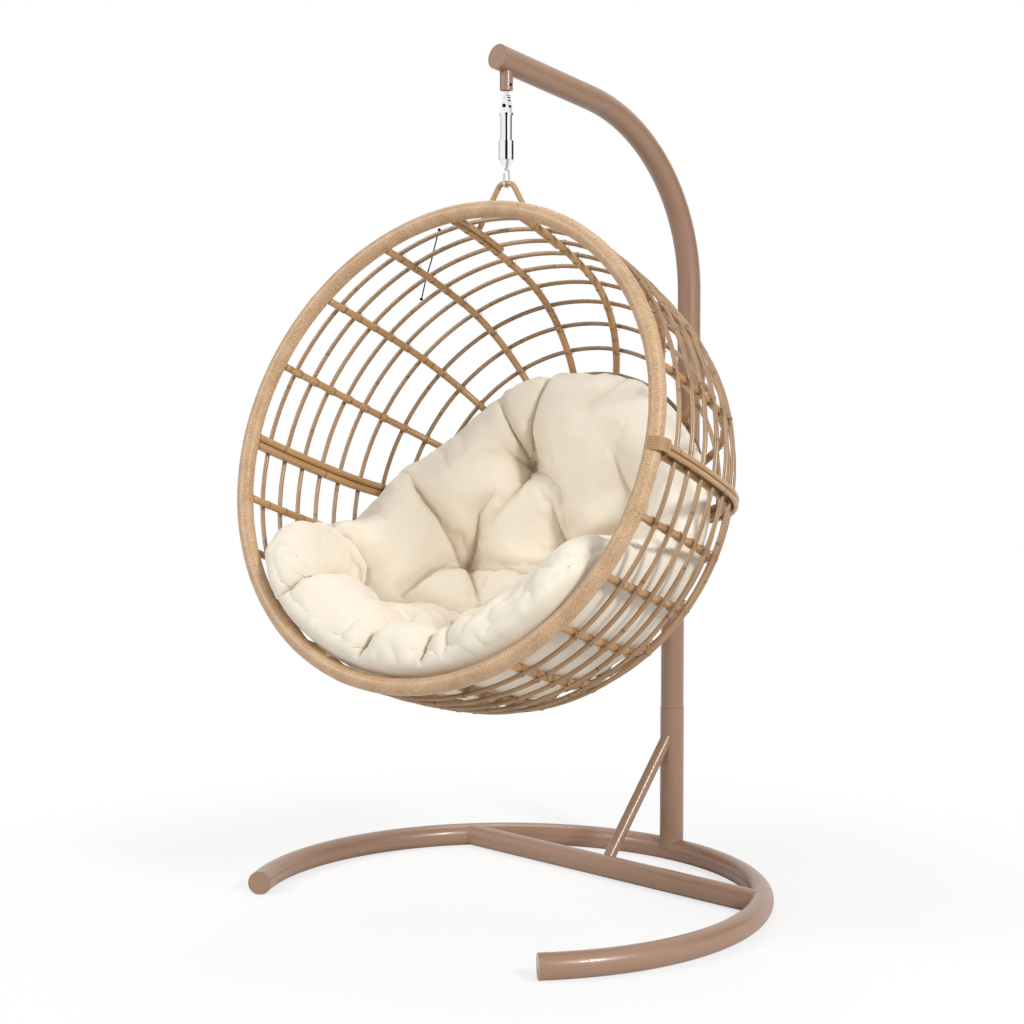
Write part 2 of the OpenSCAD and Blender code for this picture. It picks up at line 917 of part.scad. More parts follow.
// Two canes that cross inside the back ring, just behind the ribs' inner side.
cross_behind = 1.2;

module back_cross() {
  reach = back_ring_r - rib_d / 2 - touch;
  middle = back_arc[0] + back_arc[2] - rib_d / 2 + cross_behind + hoop_d / 2;
  color(cane)
    in_basket()
      translate([0, middle, 0]) {
        translate([-reach, 0, 0])
          rotate([0, 90, 0])
            cylinder(h = 2 * reach, d = hoop_d);
        translate([0, 0, -reach])
          cylinder(h = 2 * reach, d = hoop_d);
      }
}

// The steel hanging loop. Its legs spread down to two rails, which lie beside
// the two topmost ribs and under the hoops.
rail_gap = 0.6;
rail_end = first_hoop + 2 * hoop_pitch;
rail_out = (rib_d - loop_d) / 2 - rail_gap;
rail_azimuth = top_step / 2;
rail_beside = (rib_d + loop_d) / 2 + touch;
rail_r = belly_r + rail_out;
// The place on a rail right under the hanging line, seen along the basket
foot_up = rail_r * cos(rail_azimuth) + rail_beside * sin(rail_azimuth);
foot_x = rail_r * sin(rail_azimuth) - rail_beside * cos(rail_azimuth);
foot_depth = (-mouth_y - foot_up * sin(basket_tilt)) / cos(basket_tilt);
foot_z = mouth_z + foot_up * cos(basket_tilt) - foot_depth * sin(basket_tilt);
// The bends' centres, and the lean of the legs that touch them
bend_x = loop_flat / 2;
bend_z = loop_top_z - loop_d / 2 - loop_bend_r;
foot_run = norm([foot_x - bend_x, bend_z - foot_z]);
leg_lean = acos(loop_bend_r / foot_run) - atan2(bend_z - foot_z, foot_x - bend_x);
leg_length = sqrt(foot_run * foot_run - loop_bend_r * loop_bend_r);

module hang_loop() {
  rail_to = asin((place_at(rail_end)[0] - belly_depth) / side_curve_r);
  color(cane) {
    for (side = [-1, 1]) {
      in_basket()
        at_azimuth(side * rail_azimuth)
          translate([0, 0, side * rail_beside])
            arc_cane(side_arc, side_from, rail_to, loop_d, rail_out);
      rotate([0, 0, basket_yaw]) {
        translate([side * foot_x, 0, foot_z])
          rotate([0, -side * leg_lean, 0])
            cylinder(h = leg_length, d = loop_d);
        translate([side * (bend_x + loop_bend_r * cos(leg_lean)), 0,
            bend_z + loop_bend_r * sin(leg_lean)])
          knuckle(loop_d);
        translate([side * bend_x, 0, bend_z])
          rotate([90, 0, 0])
            bent_tube(loop_bend_r, loop_d, side > 0 ? leg_lean : 90,
              side > 0 ? 90 : 180 - leg_lean);
        translate([side * bend_x, 0, bend_z + loop_bend_r])
          knuckle(loop_d);
      }
    }
    rotate([0, 0, basket_yaw])
      translate([-bend_x, 0, bend_z + loop_bend_r])
        rotate([0, 90, 0])
          cylinder(h = loop_flat, d = loop_d);
  }
}

// ---- Cushion --------------------------------------------------------------
// The cushion is worked out in directions from a point inside the basket:
// an angle away from the cushion's middle and an angle round it.

cushion_eye = [0, 150, 100];
cushion_lean = 39.5;   // how far the middle's direction turns from straight down
// Cosine terms, in degrees, of how far the cushion spreads round its middle
cushion_spread = [68.5, 8.3, 4.4, 5.5, -3, 0.7, 0.8, -1.5];
cushion_rings = 12;
cushion_sides = 44;
edge_power = 4.4;      // how full the cushion's rounded edge is
crown = 0.12;          // extra thickness of the middle
mean_reach = 480;      // turns directions into distances over the cushion
tuft_row = [0.987, 0.160];
tuft_column = [0.26, 1.10];
tuft_first = [13, 160];
tuft_limit = 0.78;     // share of the spread that tufts keep within

inner_offset = -(rib_d / 2 + cushion_gap);

// The radius of a surface inside the ribs, at a depth.
function inner_radius(depth) =
  let (ends = [for (arc = profile) arc[0] + (arc[2] + inner_offset) * sin(arc[4])],
       arc = depth < ends[0] ? side_arc : depth < ends[1] ? shoulder_arc : back_arc,
       bend = arc[2] + inner_offset)
    arc[1] + sqrt(max(0, bend * bend - (depth - arc[0]) * (depth - arc[0])));

function is_inside(p) = norm([p[0], p[2]]) < inner_radius(p[1]);

// How far the inner surface is from the eye in a direction, by halving.
function reach(way, near = 0, far = 900, halvings = 16) =
  let (middle = (near + far) / 2)
    halvings == 0 ? middle
    : is_inside(cushion_eye + middle * way) ? reach(way, middle, far, halvings - 1)
    : reach(way, near, middle, halvings - 1);

function spread_at(round_a) =
  cushion_spread * [for (k = [0:len(cushion_spread) - 1]) cos(k * round_a)];

// The direction at an angle away from the middle and an angle round it.
function way_at(away, round_a) =
  let (down = [0, sin(cushion_lean), -cos(cushion_lean)],
       back = [0, cos(cushion_lean), sin(cushion_lean)])
    cos(away) * down + sin(away) * (cos(round_a) * back + sin(round_a) * [1, 0, 0]);

// Places of the tufts on the flattened cushion.
tufts = [
  for (column = [-2:2], row = [-2:2])
    let (at = tuft_first + tuft_spacing * (column * tuft_row + row * tuft_column),
         away = norm(at) / mean_reach * 180 / PI,
         limit = spread_at(atan2(at[0], at[1])))
      if (away < tuft_limit * limit) at
];

function tuft_dip(at) =
  max([for (tuft = tufts) exp(-pow(norm(at - tuft) / tuft_width, 2))]);

// A point of the cushion: share 0 is its middle and 1 its edge, and the face
// is -1 against the basket and 1 where one sits.
function cushion_point(share, round_a, face) =
  let (away = share * spread_at(round_a),
       way = way_at(away, round_a),
       half = cushion_thickness / 2,
       swell = half * pow(1 - pow(share, edge_power), 1 / edge_power),
       top = face > 0 ? swell * (1 + crown * 2 * (1 - share)) : swell,
       flat_at = away * PI / 180 * mean_reach * [sin(round_a), cos(round_a)],
       dip = face > 0 ? tuft_depth * tuft_dip(flat_at) * (1 - pow(share, 4)) : 0)
    cushion_eye + way * (reach(way) - half - face * top + dip);

module cushion() {
  last = cushion_rings - 1;
  shares = [for (ring = [1:cushion_rings]) sin(90 * ring / cushion_rings)];
  turns = [for (side = [0:cushion_sides - 1]) 360 * side / cushion_sides];
  points = concat(
    [cushion_point(0, 0, 1)],
    [for (ring = [0:last], turn = turns) cushion_point(shares[ring], turn, 1)],
    [for (ring = [last - 1:-1:0], turn = turns) cushion_point(shares[ring], turn, -1)],
    [cushion_point(0, 0, -1)]
  );
  rings = 2 * cushion_rings - 1;
  faces = concat(
    [for (s = [0:cushion_sides - 1]) [0, 1 + (s + 1) % cushion_sides, 1 + s]],
    [for (ring = [0:rings - 2], s = [0:cushion_sides - 1])
      let (a = 1 + ring * cushion_sides + s,
           b = 1 + ring * cushion_sides + (s + 1) % cushion_sides)
        [a, b, a + cushion_sides]],
    [for (ring = [0:rings - 2], s = [0:cushion_sides - 1])
      let (a = 1 + ring * cushion_sides + s,
           b = 1 + ring * cushion_sides + (s + 1) % cushion_sides)
        [b, b + cushion_sides, a + cushion_sides]],
    [for (s = [0:cushion_sides - 1])
      let (base = 1 + (rings - 1) * cushion_sides)
        [base + cushion_sides, base + s, base + (s + 1) % cushion_sides]]
  );
  color(cream)
    in_basket()
      polyhedron(points = points, faces = faces);
}

// ---- Tie cord -------------------------------------------------------------
// A short loose cord that lies over the hoops on the basket's upper left.

cord_d = 3;
knot_d = 7;
cord_sides = 8;
cord_leg_steps = 5;    // rings between two of the chosen places
// The route, as [angle round the basket from its top, depth]
cord_route = [[-18, 70], [-20, 88], [-23.5, 122], [-27, 155], [-31, 188],
  [-34.5, 217], [-37.5, 242]];
cord_steps = cord_leg_steps * (len(cord_route) - 1);
hoops_out = rib_d / 2 + hoop_d + 2 * touch;   // from the ribs to the hoops' outside

function over_hoops(spot, out) =
  let (r = radius_at(spot[1]) + hoops_out + out)
    [r * sin(spot[0]), spot[1], r * cos(spot[0])];

function cord_spot(step) =
  let (leg = min(floor(step / cord_leg_steps), len(cord_route) - 2),
       along = step / cord_leg_steps - leg)
    (1 - along) * cord_route[leg] + along * cord_route[leg + 1];

function cord_middle(step) = over_hoops(cord_spot(step), cord_d / 2);

function cord_point(step, side) =
  let (run = cord_middle(min(step + 1, cord_steps)) - cord_middle(max(step - 1, 0)),
       ahead = run / norm(run),
       a = cord_spot(step)[0],
       up = [sin(a), 0, cos(a)],
       across = cross(up, ahead) / norm(cross(up, ahead)),
       out = cross(ahead, across),
       around = side * 360 / cord_sides)
    cord_middle(step) + cord_d / 2 * (cos(around) * out + sin(around) * across);

cord_length = [
  for (step = 0, sum = 0; step <= cord_steps; step = step + 1,
      sum = sum + norm(cord_middle(min(step, cord_steps)) - cord_middle(step - 1)))
    sum
][cord_steps];
echo(cord_length = cord_length);

module tie_cord() {
  color(dark)
    in_basket()
      polyhedron(
        points = [
          for (step = [0:cord_steps], side = [0:cord_sides - 1]) cord_point(step, side)
        ],
        faces = tube_faces(cord_steps, cord_sides)
      );
}

// The knots in the cord's two ends.
module tie_knot() {
  color(dark)
    in_basket()
      for (end = [0, len(cord_route) - 1])
        translate(over_hoops(cord_route[end], knot_d / 2))
          sphere(d = knot_d, $fn = 32);
}

base_ring();
base_plug_left();
base_plug_right();
cross_tube();
lower_post();
post_brace();
mast_pole();
mast_arm();
arm_plug();
lower_spigot();
upper_spigot();
mast_bolts();
hanger_sleeve();
hanger_pin();
swing_link();
spring_bracket();
bracket_pin();
bracket_rivet();
spring_tube();
spring_coil();
spring_rod();
spring_washer();
spring_nut();
spring_sleeve();
swivel_cap();
swivel_hook();
hang_loop();
rim();
hoops_mouth();
hoops_front();
hoops_middle();
hoops_shoulder();
hoops_back();
ribs_top_left();
ribs_top_right();
ribs_low_left();
ribs_low_right();
belt_inner_left();
belt_inner_right();
belt_outer();
back_ring();
back_cross();
cushion();
tie_cord();
tie_knot();
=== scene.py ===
# %% [markdown]
# # A hanging egg chair
# A round cane basket with a tufted cushion hangs by a sprung swivel from a
# bent tube stand. The measured model of every piece is loaded first, as a
# frame that is never moved. This lesson then gives each piece the surface and
# the small shapes that a plain solid lacks.

import json
import math

import bmesh
import bpy
import numpy as np
from mathutils import Matrix, Vector


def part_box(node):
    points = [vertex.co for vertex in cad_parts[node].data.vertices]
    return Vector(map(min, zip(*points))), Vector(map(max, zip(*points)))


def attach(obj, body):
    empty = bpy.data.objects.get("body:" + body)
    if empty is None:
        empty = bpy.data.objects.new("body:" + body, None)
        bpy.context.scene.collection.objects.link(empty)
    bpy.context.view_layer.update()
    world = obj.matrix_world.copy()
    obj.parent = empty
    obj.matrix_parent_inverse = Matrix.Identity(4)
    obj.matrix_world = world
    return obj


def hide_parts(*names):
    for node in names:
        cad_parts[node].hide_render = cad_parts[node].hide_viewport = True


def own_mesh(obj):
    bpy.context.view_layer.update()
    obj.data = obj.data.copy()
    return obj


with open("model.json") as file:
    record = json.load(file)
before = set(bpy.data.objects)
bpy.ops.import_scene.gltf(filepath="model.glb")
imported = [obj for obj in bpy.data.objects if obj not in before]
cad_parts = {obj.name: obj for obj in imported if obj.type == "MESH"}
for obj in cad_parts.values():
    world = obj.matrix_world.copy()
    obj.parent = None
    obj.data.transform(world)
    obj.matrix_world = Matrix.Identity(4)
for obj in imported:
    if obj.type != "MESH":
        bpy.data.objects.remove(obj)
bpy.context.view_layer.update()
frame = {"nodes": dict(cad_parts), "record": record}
nodes = frame["nodes"]

# %% [markdown]
# ## Small helpers
# Every object is made from some data and linked to the scene, and every mesh
# is drawn up in a bmesh first, so both steps get a short name. A shape that
# repeats is built once, kept as a mesh, and added again wherever it is needed.


# %% Helpers
def put(name, data):
    """A new object with this data, in the scene."""
    made = bpy.data.objects.new(name, data)
    bpy.context.scene.collection.objects.link(made)
    return made


def mesh_of(name, bm):
    """The finished bmesh as a mesh."""
    mesh = bpy.data.meshes.new(name)
    bm.to_mesh(mesh)
    bm.free()
    return mesh


def add_copy(bm, shape, matrix):
    """Adds a moved copy of a mesh to the bmesh."""
    copy = shape.copy()
    copy.transform(matrix)
    bm.from_mesh(copy)
    bpy.data.meshes.remove(copy)


print("helpers: ready")

# %% [markdown]
# ## Camera
# The eye stands a little above the seat, to the front right of the chair. A
# long lens keeps the basket's circles close to true ellipses. The camera is
# turned with to_track_quat, which points its own -Z axis at the target.

# %% Camera
eye = Vector((2.8823, -2.8317, 1.0910))
target = Vector((0.0084, 0.0085, 0.8510))
lens = bpy.data.cameras.new("camera")
lens.lens = 66.25
lens.sensor_width = 36.0
camera = put("camera", lens)
camera.location = eye
camera.rotation_euler = (target - eye).to_track_quat("-Z", "Y").to_euler()
bpy.context.scene.camera = camera
print("camera: distance", round((target - eye).length, 3))

# %% [markdown]
# ## Shader maths in plain expressions
# A pattern is a formula over the surface. Adding Math nodes by hand hides the
# formula, so a small class wraps a socket and overloads + - * and the rest:
# writing 1 - mask then adds the node by itself. Every other node comes from
# one method that takes the node's type, its settings and its inputs.


# %% Socket maths
class Value:
    """A number that varies over a surface: a socket with arithmetic."""

    def __init__(self, shop, socket):
        self.shop = shop
        self.socket = socket

    def _maths(self, operation, *others):
        inputs = dict(enumerate((self, *others)))
        return self.shop.node("ShaderNodeMath", {"operation": operation}, inputs)

    def __add__(self, other):
        return self._maths("ADD", other)

    __radd__ = __add__

    def __sub__(self, other):
        return self._maths("SUBTRACT", other)

    def __rsub__(self, other):
        inputs = {0: other, 1: self}
        return self.shop.node("ShaderNodeMath", {"operation": "SUBTRACT"}, inputs)

    def __mul__(self, other):
        return self._maths("MULTIPLY", other)

    __rmul__ = __mul__

    def __truediv__(self, other):
        return self._maths("DIVIDE", other)

    def __pow__(self, other):
        return self._maths("POWER", other)

    def sine(self):
        return self._maths("SINE")

    def fraction(self):
        return self._maths("FRACT")

    def size(self):
        return self._maths("ABSOLUTE")

    def angle_with(self, other):
        return self._maths("ARCTAN2", other)

    def at_most(self, other):
        return self._maths("MINIMUM", other)

    def at_least(self, other):
        return self._maths("MAXIMUM", other)

    def ramp(self, low, high):
        """0 below low, 1 above high, smooth between."""
        inputs = {"Value": self, "From Min": low, "From Max": high}
        return self.shop.node("ShaderNodeMapRange", {"interpolation_type": "SMOOTHSTEP"}, inputs)


class Shop:
    """Builds one material's nodes."""

    def __init__(self, name):
        self.material = bpy.data.materials.new(name)
        self.material.use_nodes = True
        self.tree = self.material.node_tree
        self.shader = self.tree.nodes["Principled BSDF"]

    def node(self, kind, settings=None, inputs=None, output=0):
        made = self.tree.nodes.new(kind)
        for key, value in (settings or {}).items():
            setattr(made, key, value)
        for key, value in (inputs or {}).items():
            self.feed(made.inputs[key], value)
        return Value(self, made.outputs[output])

    def feed(self, socket, value):
        if isinstance(value, Value):
            self.tree.links.new(value.socket, socket)
        else:
            socket.default_value = value

    def place(self):
        return self.node("ShaderNodeTexCoord", output="Object")

    def layer(self, name):
        return self.node("ShaderNodeAttribute", {"attribute_name": name}, output="Vector")

    def parts(self, vector):
        made = self.tree.nodes.new("ShaderNodeSeparateXYZ")
        self.feed(made.inputs[0], vector)
        return [Value(self, out) for out in made.outputs]

    def stretched(self, vector, scale):
        return self.node("ShaderNodeMapping", {}, {"Vector": vector, "Scale": scale})

    def noise(self, vector, scale, detail=3.0):
        inputs = {"Vector": vector, "Scale": scale, "Detail": detail}
        return self.node("ShaderNodeTexNoise", {}, inputs)

    def streaks(self, vector, stretch, detail):
        """Noise drawn out by a different scale on each axis."""
        return self.noise(self.stretched(vector, stretch), 1.0, detail)

    def blend(self, factor, one, other):
        made = self.tree.nodes.new("ShaderNodeMix")
        made.data_type = "RGBA"
        self.feed(made.inputs["Factor"], factor)
        sockets = [socket for socket in made.inputs if socket.type == "RGBA"]
        for socket, colour in zip(sockets, (one, other)):
            self.feed(socket, colour if isinstance(colour, Value) else (*colour, 1.0))
        return Value(self, [socket for socket in made.outputs if socket.type == "RGBA"][0])

    def bump(self, height, strength, distance):
        inputs = {"Height": height, "Strength": strength, "Distance": distance}
        self.feed(self.shader.inputs["Normal"], self.node("ShaderNodeBump", {}, inputs))

    def set(self, **sockets):
        for name, value in sockets.items():
            socket = self.shader.inputs[name.replace("_", " ").title().replace("Ior", "IOR")]
            if isinstance(value, tuple) and len(value) == 3:
                value = (*value, 1.0)
            self.feed(socket, value)
        return self


print("shop: ready")

# %% [markdown]
# ## Powder coat
# The stand is steel tube under a baked powder coat: an even taupe with a soft
# gloss and a very fine orange-peel texture. Noise drives the bump and a slight
# drift of the colour, so that the tube isn't one flat tone.


# %% Powder coat
def powder_coat():
    shop = Shop("powder_coat")
    place = shop.place()
    drift = shop.noise(place, 5.0)
    colour = shop.blend(drift, (0.305, 0.180, 0.116), (0.352, 0.210, 0.137))
    gloss = 0.27 + 0.08 * shop.noise(place, 60.0)
    shop.set(base_color=colour, roughness=gloss, coat_weight=0.15)
    shop.bump(shop.noise(place, 900.0, 2.0), 0.12, 0.0004)
    return shop.material


taupe = powder_coat()

# %% [markdown]
# ## Bright steel
# The spring hanger is chromed. A mirror shows only what stands around it, so
# the finish is nearly all in the lights; a trace of noise in the roughness
# keeps it from looking like glass.


# %% Bright steel
def bright_steel(name, colour, roughness):
    shop = Shop(name)
    grain = shop.noise(shop.place(), 220.0)
    shop.set(base_color=colour, metallic=1.0, roughness=roughness + 0.05 * grain)
    return shop.material


chrome = bright_steel("chrome", (0.86, 0.87, 0.88), 0.05)
plain_steel = bright_steel("plain_steel", (0.45, 0.45, 0.46), 0.32)

# %% [markdown]
# ## Cane
# Rattan grows in lengths between knots, like bamboo. Its skin has fine streaks
# along the stem and a darker ring at each knot. A pattern on Object
# coordinates would cut straight through a bent cane, so each cane carries a
# layer that says where a point was before the cane was bent: x and y across
# it, z along it.


# %% Cane
knot_inner, knot_outer = 0.0012, 0.0045


def cane_finish(name, light, dark, knot_every=0.31, layered=True):
    """Light and dark are the skin's two tones; knots come at a distance.
    A cane that isn't layered is read on Object coordinates instead."""
    shop = Shop(name)
    lie = shop.layer("straight") if layered else shop.place()
    along = shop.parts(lie)[2]
    streak = shop.streaks(lie, (260.0, 260.0, 7.0), 4.0)
    patch = shop.streaks(lie, (20.0, 20.0, 9.0), 2.0)
    tone = (1.1 * streak + 0.9 * patch - 0.5).at_least(0.0).at_most(1.0)
    to_knot = ((along / knot_every).fraction() - 0.5).size() * knot_every
    knot = 1.0 - to_knot.ramp(knot_inner, knot_outer)
    skin = shop.blend(tone, dark, light)
    colour = shop.blend(0.6 * knot, skin, tuple(0.4 * c for c in dark))
    shop.set(base_color=colour, roughness=0.30 + 0.22 * patch)
    shop.set(coat_weight=0.35, coat_roughness=0.18)
    shop.bump(streak * 0.3 - knot * 0.8, 0.4, 0.0012)
    return shop.material


rib_finish = cane_finish("cane", (0.64, 0.385, 0.170), (0.34, 0.175, 0.065))
# The hoops' finish is the ribs' cane made darker: painted shade for the hoops that lie in shade
# inside the basket.
shaded_hoop_finish = cane_finish("thin_cane", (0.50, 0.310, 0.155), (0.22, 0.125, 0.060), 0.27)
plain_cane = cane_finish("plain_cane", (0.60, 0.380, 0.190), (0.40, 0.235, 0.105),
                         0.27, layered=False)
print("cane: three finishes")

# %% [markdown]
# ## Bending a cane
# A bent cane is a circle turned about the centre of its bend: the spin
# operator. A rib follows three bends one after the other, and a hoop is one
# full spin. While a cane is spun its rings are known, so the layer "straight"
# is written at the same time.

# %% The basket's place and profile
yaw, tilt = math.radians(10.7), math.radians(18.4)
rim_r, rim_d = 0.508, 0.035
rib_d, hoop_d, outer_belt_d = 0.016, 0.010, 0.011
back_ring_r = 0.098
touch = 0.0003  # the gap left between two canes that lie together
mouth = Vector((0, -0.085 - rim_r * math.sin(tilt), 1.489 - rim_r * math.cos(tilt)))
basket_place = (Matrix.Rotation(yaw, 4, "Z") @ Matrix.Translation(mouth)
                @ Matrix.Rotation(-tilt, 4, "X"))

belly_r, belly_depth, side_r = 0.504, 0.080, 1.600
shoulder_depth, shoulder_r, shoulder_end = 0.300, 0.300, math.radians(62)
side_from = math.asin((rim_d / 2 + touch - belly_depth) / side_r)
side_to = math.asin((shoulder_depth - belly_depth) / side_r)
shoulder_y = shoulder_depth - shoulder_r * math.sin(side_to)
shoulder_x = belly_r - side_r + (side_r - shoulder_r) * math.cos(side_to)
back_extra = shoulder_x / math.cos(shoulder_end)
back_y, back_r = shoulder_y - back_extra * math.sin(shoulder_end), shoulder_r + back_extra
# Each bend: centre depth, centre radius, bend radius, first and last angle
profile = [
    (belly_depth, belly_r - side_r, side_r, side_from, side_to),
    (shoulder_y, shoulder_x, shoulder_r, side_to, shoulder_end),
    (back_y, 0.0, back_r, shoulder_end, math.pi / 2),
]
back_ring_angle = math.acos(back_ring_r / back_r)
print("basket: depth", round(back_y + back_r, 4))


# %% Spinning canes
def new_mesh_object(name, bm, material, body, *replaced):
    """A smooth object from the bmesh, riding a body, in place of the named
    pieces of the frame."""
    mesh = mesh_of(name, bm)
    for face in mesh.polygons:
        face.use_smooth = True
    piece = put(name, mesh)
    mesh.materials.append(material)
    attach(piece, body)
    if replaced:
        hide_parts(*replaced)
    return piece


def edges_within(*rings):
    """The edges that have both their ends in the same ring."""
    found = []
    for ring in rings:
        near = {edge for vert in ring for edge in vert.link_edges}
        found += [edge for edge in near if all(vert in ring for vert in edge.verts)]
    return found


def spin_cane(bm, radius, start, forward, bends, sides=14, step=0.012, offset=0.0):
    """Adds a cane that starts at a point, heading forward, and follows bends
    given as (centre, axis, angle). The step is the length of one spun row, and
    the offset moves the knots along the cane."""
    layers = bm.loops.layers.float_vector
    layer = layers.get("straight") or layers.new("straight")
    turn = forward.to_track_quat("Z", "Y").to_matrix().to_4x4()
    ring = bmesh.ops.create_circle(bm, cap_ends=False, segments=sides, radius=radius,
                                   matrix=Matrix.Translation(start) @ turn)["verts"]
    first = list(ring)
    side_of = {v: (turn.inverted() @ (v.co - start)).xy for v in ring}
    along = {v: offset for v in ring}
    reach, closed = offset, False
    for centre, axis, angle in bends:
        bend_r = (start - centre).cross(axis).length
        count = max(3, round(abs(angle) * bend_r / step))
        whole = abs(abs(angle) - 2 * math.pi) < 1e-6
        for k in range(count - 1 if whole else count):
            made = bmesh.ops.spin(bm, geom=list(ring) + edges_within(ring), cent=centre,
                                  axis=axis, angle=angle / count, steps=1,
                                  use_duplicate=False, use_merge=False,
                                  use_normal_flip=False)
            new = [g for g in made["geom_last"] if isinstance(g, bmesh.types.BMVert)]
            back = Matrix.Rotation(-angle / count, 4, axis)
            reach += abs(angle) * bend_r / count
            for v in new:
                was = centre + (back @ (v.co - centre))
                near = min(ring, key=lambda w: (w.co - was).length_squared)
                side_of[v], along[v] = side_of[near], reach
            ring = new
        start = centre + Matrix.Rotation(angle, 4, axis) @ (start - centre)
        closed = closed or whole
    row_long = (reach - offset) / max(1, count - 1)
    if closed:
        bmesh.ops.bridge_loops(bm, edges=edges_within(ring, first))
    else:
        for end in (first, ring):
            bmesh.ops.contextual_create(bm, geom=edges_within(end))
    for face in {f for v in along for f in v.link_faces}:
        far = max(along[v] for v in face.verts)
        for loop in face.loops:
            z = along[loop.vert]
            # The last row of a closed cane ends on its first ring.
            if closed and far - z > 0.5 * (reach - offset):
                z = reach + row_long
            loop[layer] = (*side_of[loop.vert], z)


def finish_canes(bm):
    bmesh.ops.recalc_face_normals(bm, faces=bm.faces[:])
    bm.transform(basket_place)


def spot(bend, angle, out=0.0):
    """A place on a bend of the profile, as (radius, depth)."""
    bend_r = bend[2] + out
    return bend[1] + bend_r * math.cos(angle), bend[0] + bend_r * math.sin(angle)


def outward_at(azimuth):
    """The way out from the basket's middle line, at an angle from the top."""
    return Vector((math.sin(azimuth), 0, math.cos(azimuth)))


def aside_at(azimuth):
    """The way round the basket, square to the way out."""
    return Vector((math.cos(azimuth), 0, -math.sin(azimuth)))


def full_turn(radius, depth):
    """Start, heading and the one bend of a hoop round the basket."""
    middle = Vector((0, depth, 0))
    bend = (middle, Vector((0, 1, 0)), -2 * math.pi)
    return middle - Vector((0, 0, radius)), Vector((1, 0, 0)), [bend]


def rib_bends(azimuth, out, last, shift=0.0):
    """Start, heading and bends of a cane along the profile at an azimuth from
    the top, moved outwards and, for the double belts, sideways."""
    aside, outward = aside_at(azimuth), outward_at(azimuth)
    axis = outward.cross(Vector((0, 1, 0)))
    r, y = spot(profile[0], side_from, out)
    start = outward * r + Vector((0, y, 0)) + aside * shift
    forward = outward * -math.sin(side_from) + Vector((0, math.cos(side_from), 0))
    bends = []
    for k, bend in enumerate(profile):
        centre = outward * bend[1] + Vector((0, bend[0], 0)) + aside * shift
        end = last if k == 2 else bend[4]
        bends.append((centre, axis, end - bend[3]))
    return start, forward, bends


print("canes: helpers ready")

# %% [markdown]
# ## Ribs
# Nineteen thicker canes run from the rim to the ring in the middle of the back,
# closer together in the lower half, which carries the load. They are made in
# four groups, one for each quarter of the basket. Each cane starts at its own
# offset, so that the knots of neighbours don't line up.

# %% Ribs
rib_last = back_ring_angle - math.asin((rib_d / 2 + touch) / back_r)
quarters = {
    "ribs_top_left": [-10, -30, -50, -70],
    "ribs_top_right": [10, 30, 50, 70],
    "ribs_low_left": [-105, -120, -135, -150, -165],
    "ribs_low_right": [105, 120, 135, 150, 165, 180],
}
for name, degrees in quarters.items():
    bm = bmesh.new()
    for degree in degrees:
        start, forward, bends = rib_bends(math.radians(degree), 0.0, rib_last)
        spin_cane(bm, rib_d / 2, start, forward, bends, offset=degree * 0.37)
    finish_canes(bm)
    piece = new_mesh_object(name + "_cane", bm, rib_finish, "basket", name)
    print(name, len(piece.data.polygons), "faces")

# %% [markdown]
# ## Belts
# Two canes lie side by side along the basket's middle, inside the hoops, and
# two more outside them, so that the hoops are held between the pairs.

# %% Belts
belt_half = rib_d / 2 + touch
belt_out = (rib_d + outer_belt_d) / 2 + hoop_d + 2 * touch
outer_half = outer_belt_d / 2 + touch
for name, azimuth in (("belt_inner_left", -90), ("belt_inner_right", 90)):
    bm = bmesh.new()
    for above in (-1, 1):
        start, forward, bends = rib_bends(math.radians(azimuth), 0.0, rib_last,
                                          above * belt_half)
        spin_cane(bm, rib_d / 2, start, forward, bends, offset=azimuth * 0.31 + above)
    finish_canes(bm)
    piece = new_mesh_object(name + "_cane", bm, rib_finish, "basket", name)
bm = bmesh.new()
for above in (-1, 1):
    start, forward, bends = rib_bends(math.radians(90), belt_out, math.pi / 2,
                                      above * outer_half)
    for centre, axis, angle in bends[::-1]:
        bends.append((Vector((-centre.x, centre.y, centre.z)), axis, angle))
    spin_cane(bm, outer_belt_d / 2, start, forward, bends, offset=above * 3.3)
finish_canes(bm)
belt = new_mesh_object("belt_outer_cane", bm, rib_finish, "basket", "belt_outer")
print("belts:", len(belt.data.polygons), "faces in the outer pair")

# %% [markdown]
# ## Hoops
# Thin canes go right round the basket outside the ribs, parallel to the rim.
# Each is one full spin of a small circle, in the same five groups as the frame.

# %% Hoops
side_length = side_r * (side_to - side_from)
shoulder_length = shoulder_r * (shoulder_end - side_to)


def profile_spot(s, out):
    """A place at a distance along the ribs, as (radius, depth)."""
    if s < side_length:
        return spot(profile[0], side_from + s / side_r, out)
    if s < side_length + shoulder_length:
        return spot(profile[1], side_to + (s - side_length) / shoulder_r, out)
    return spot(profile[2], shoulder_end + (s - side_length - shoulder_length) / back_r, out)


hoop_out = (rib_d + hoop_d) / 2 + touch
hoop_end = side_length + shoulder_length + back_r * (back_ring_angle - shoulder_end)
first_hoop, hoop_pitch = 0.052, 0.058
hoop_count = math.floor((hoop_end - rib_d - hoop_d - first_hoop) / hoop_pitch) + 1
groups = ["hoops_mouth", "hoops_front", "hoops_middle", "hoops_shoulder", "hoops_back"]
each = math.ceil(hoop_count / len(groups))
for g, name in enumerate(groups):
    bm = bmesh.new()
    for k in range(g * each, min(hoop_count, (g + 1) * each)):
        hoop = full_turn(*profile_spot(first_hoop + k * hoop_pitch, hoop_out))
        spin_cane(bm, hoop_d / 2, *hoop, sides=10, step=0.022, offset=k * 4.7)
    finish_canes(bm)
    piece = new_mesh_object(name + "_cane", bm, shaded_hoop_finish, "basket", name)
print("hoops:", hoop_count)

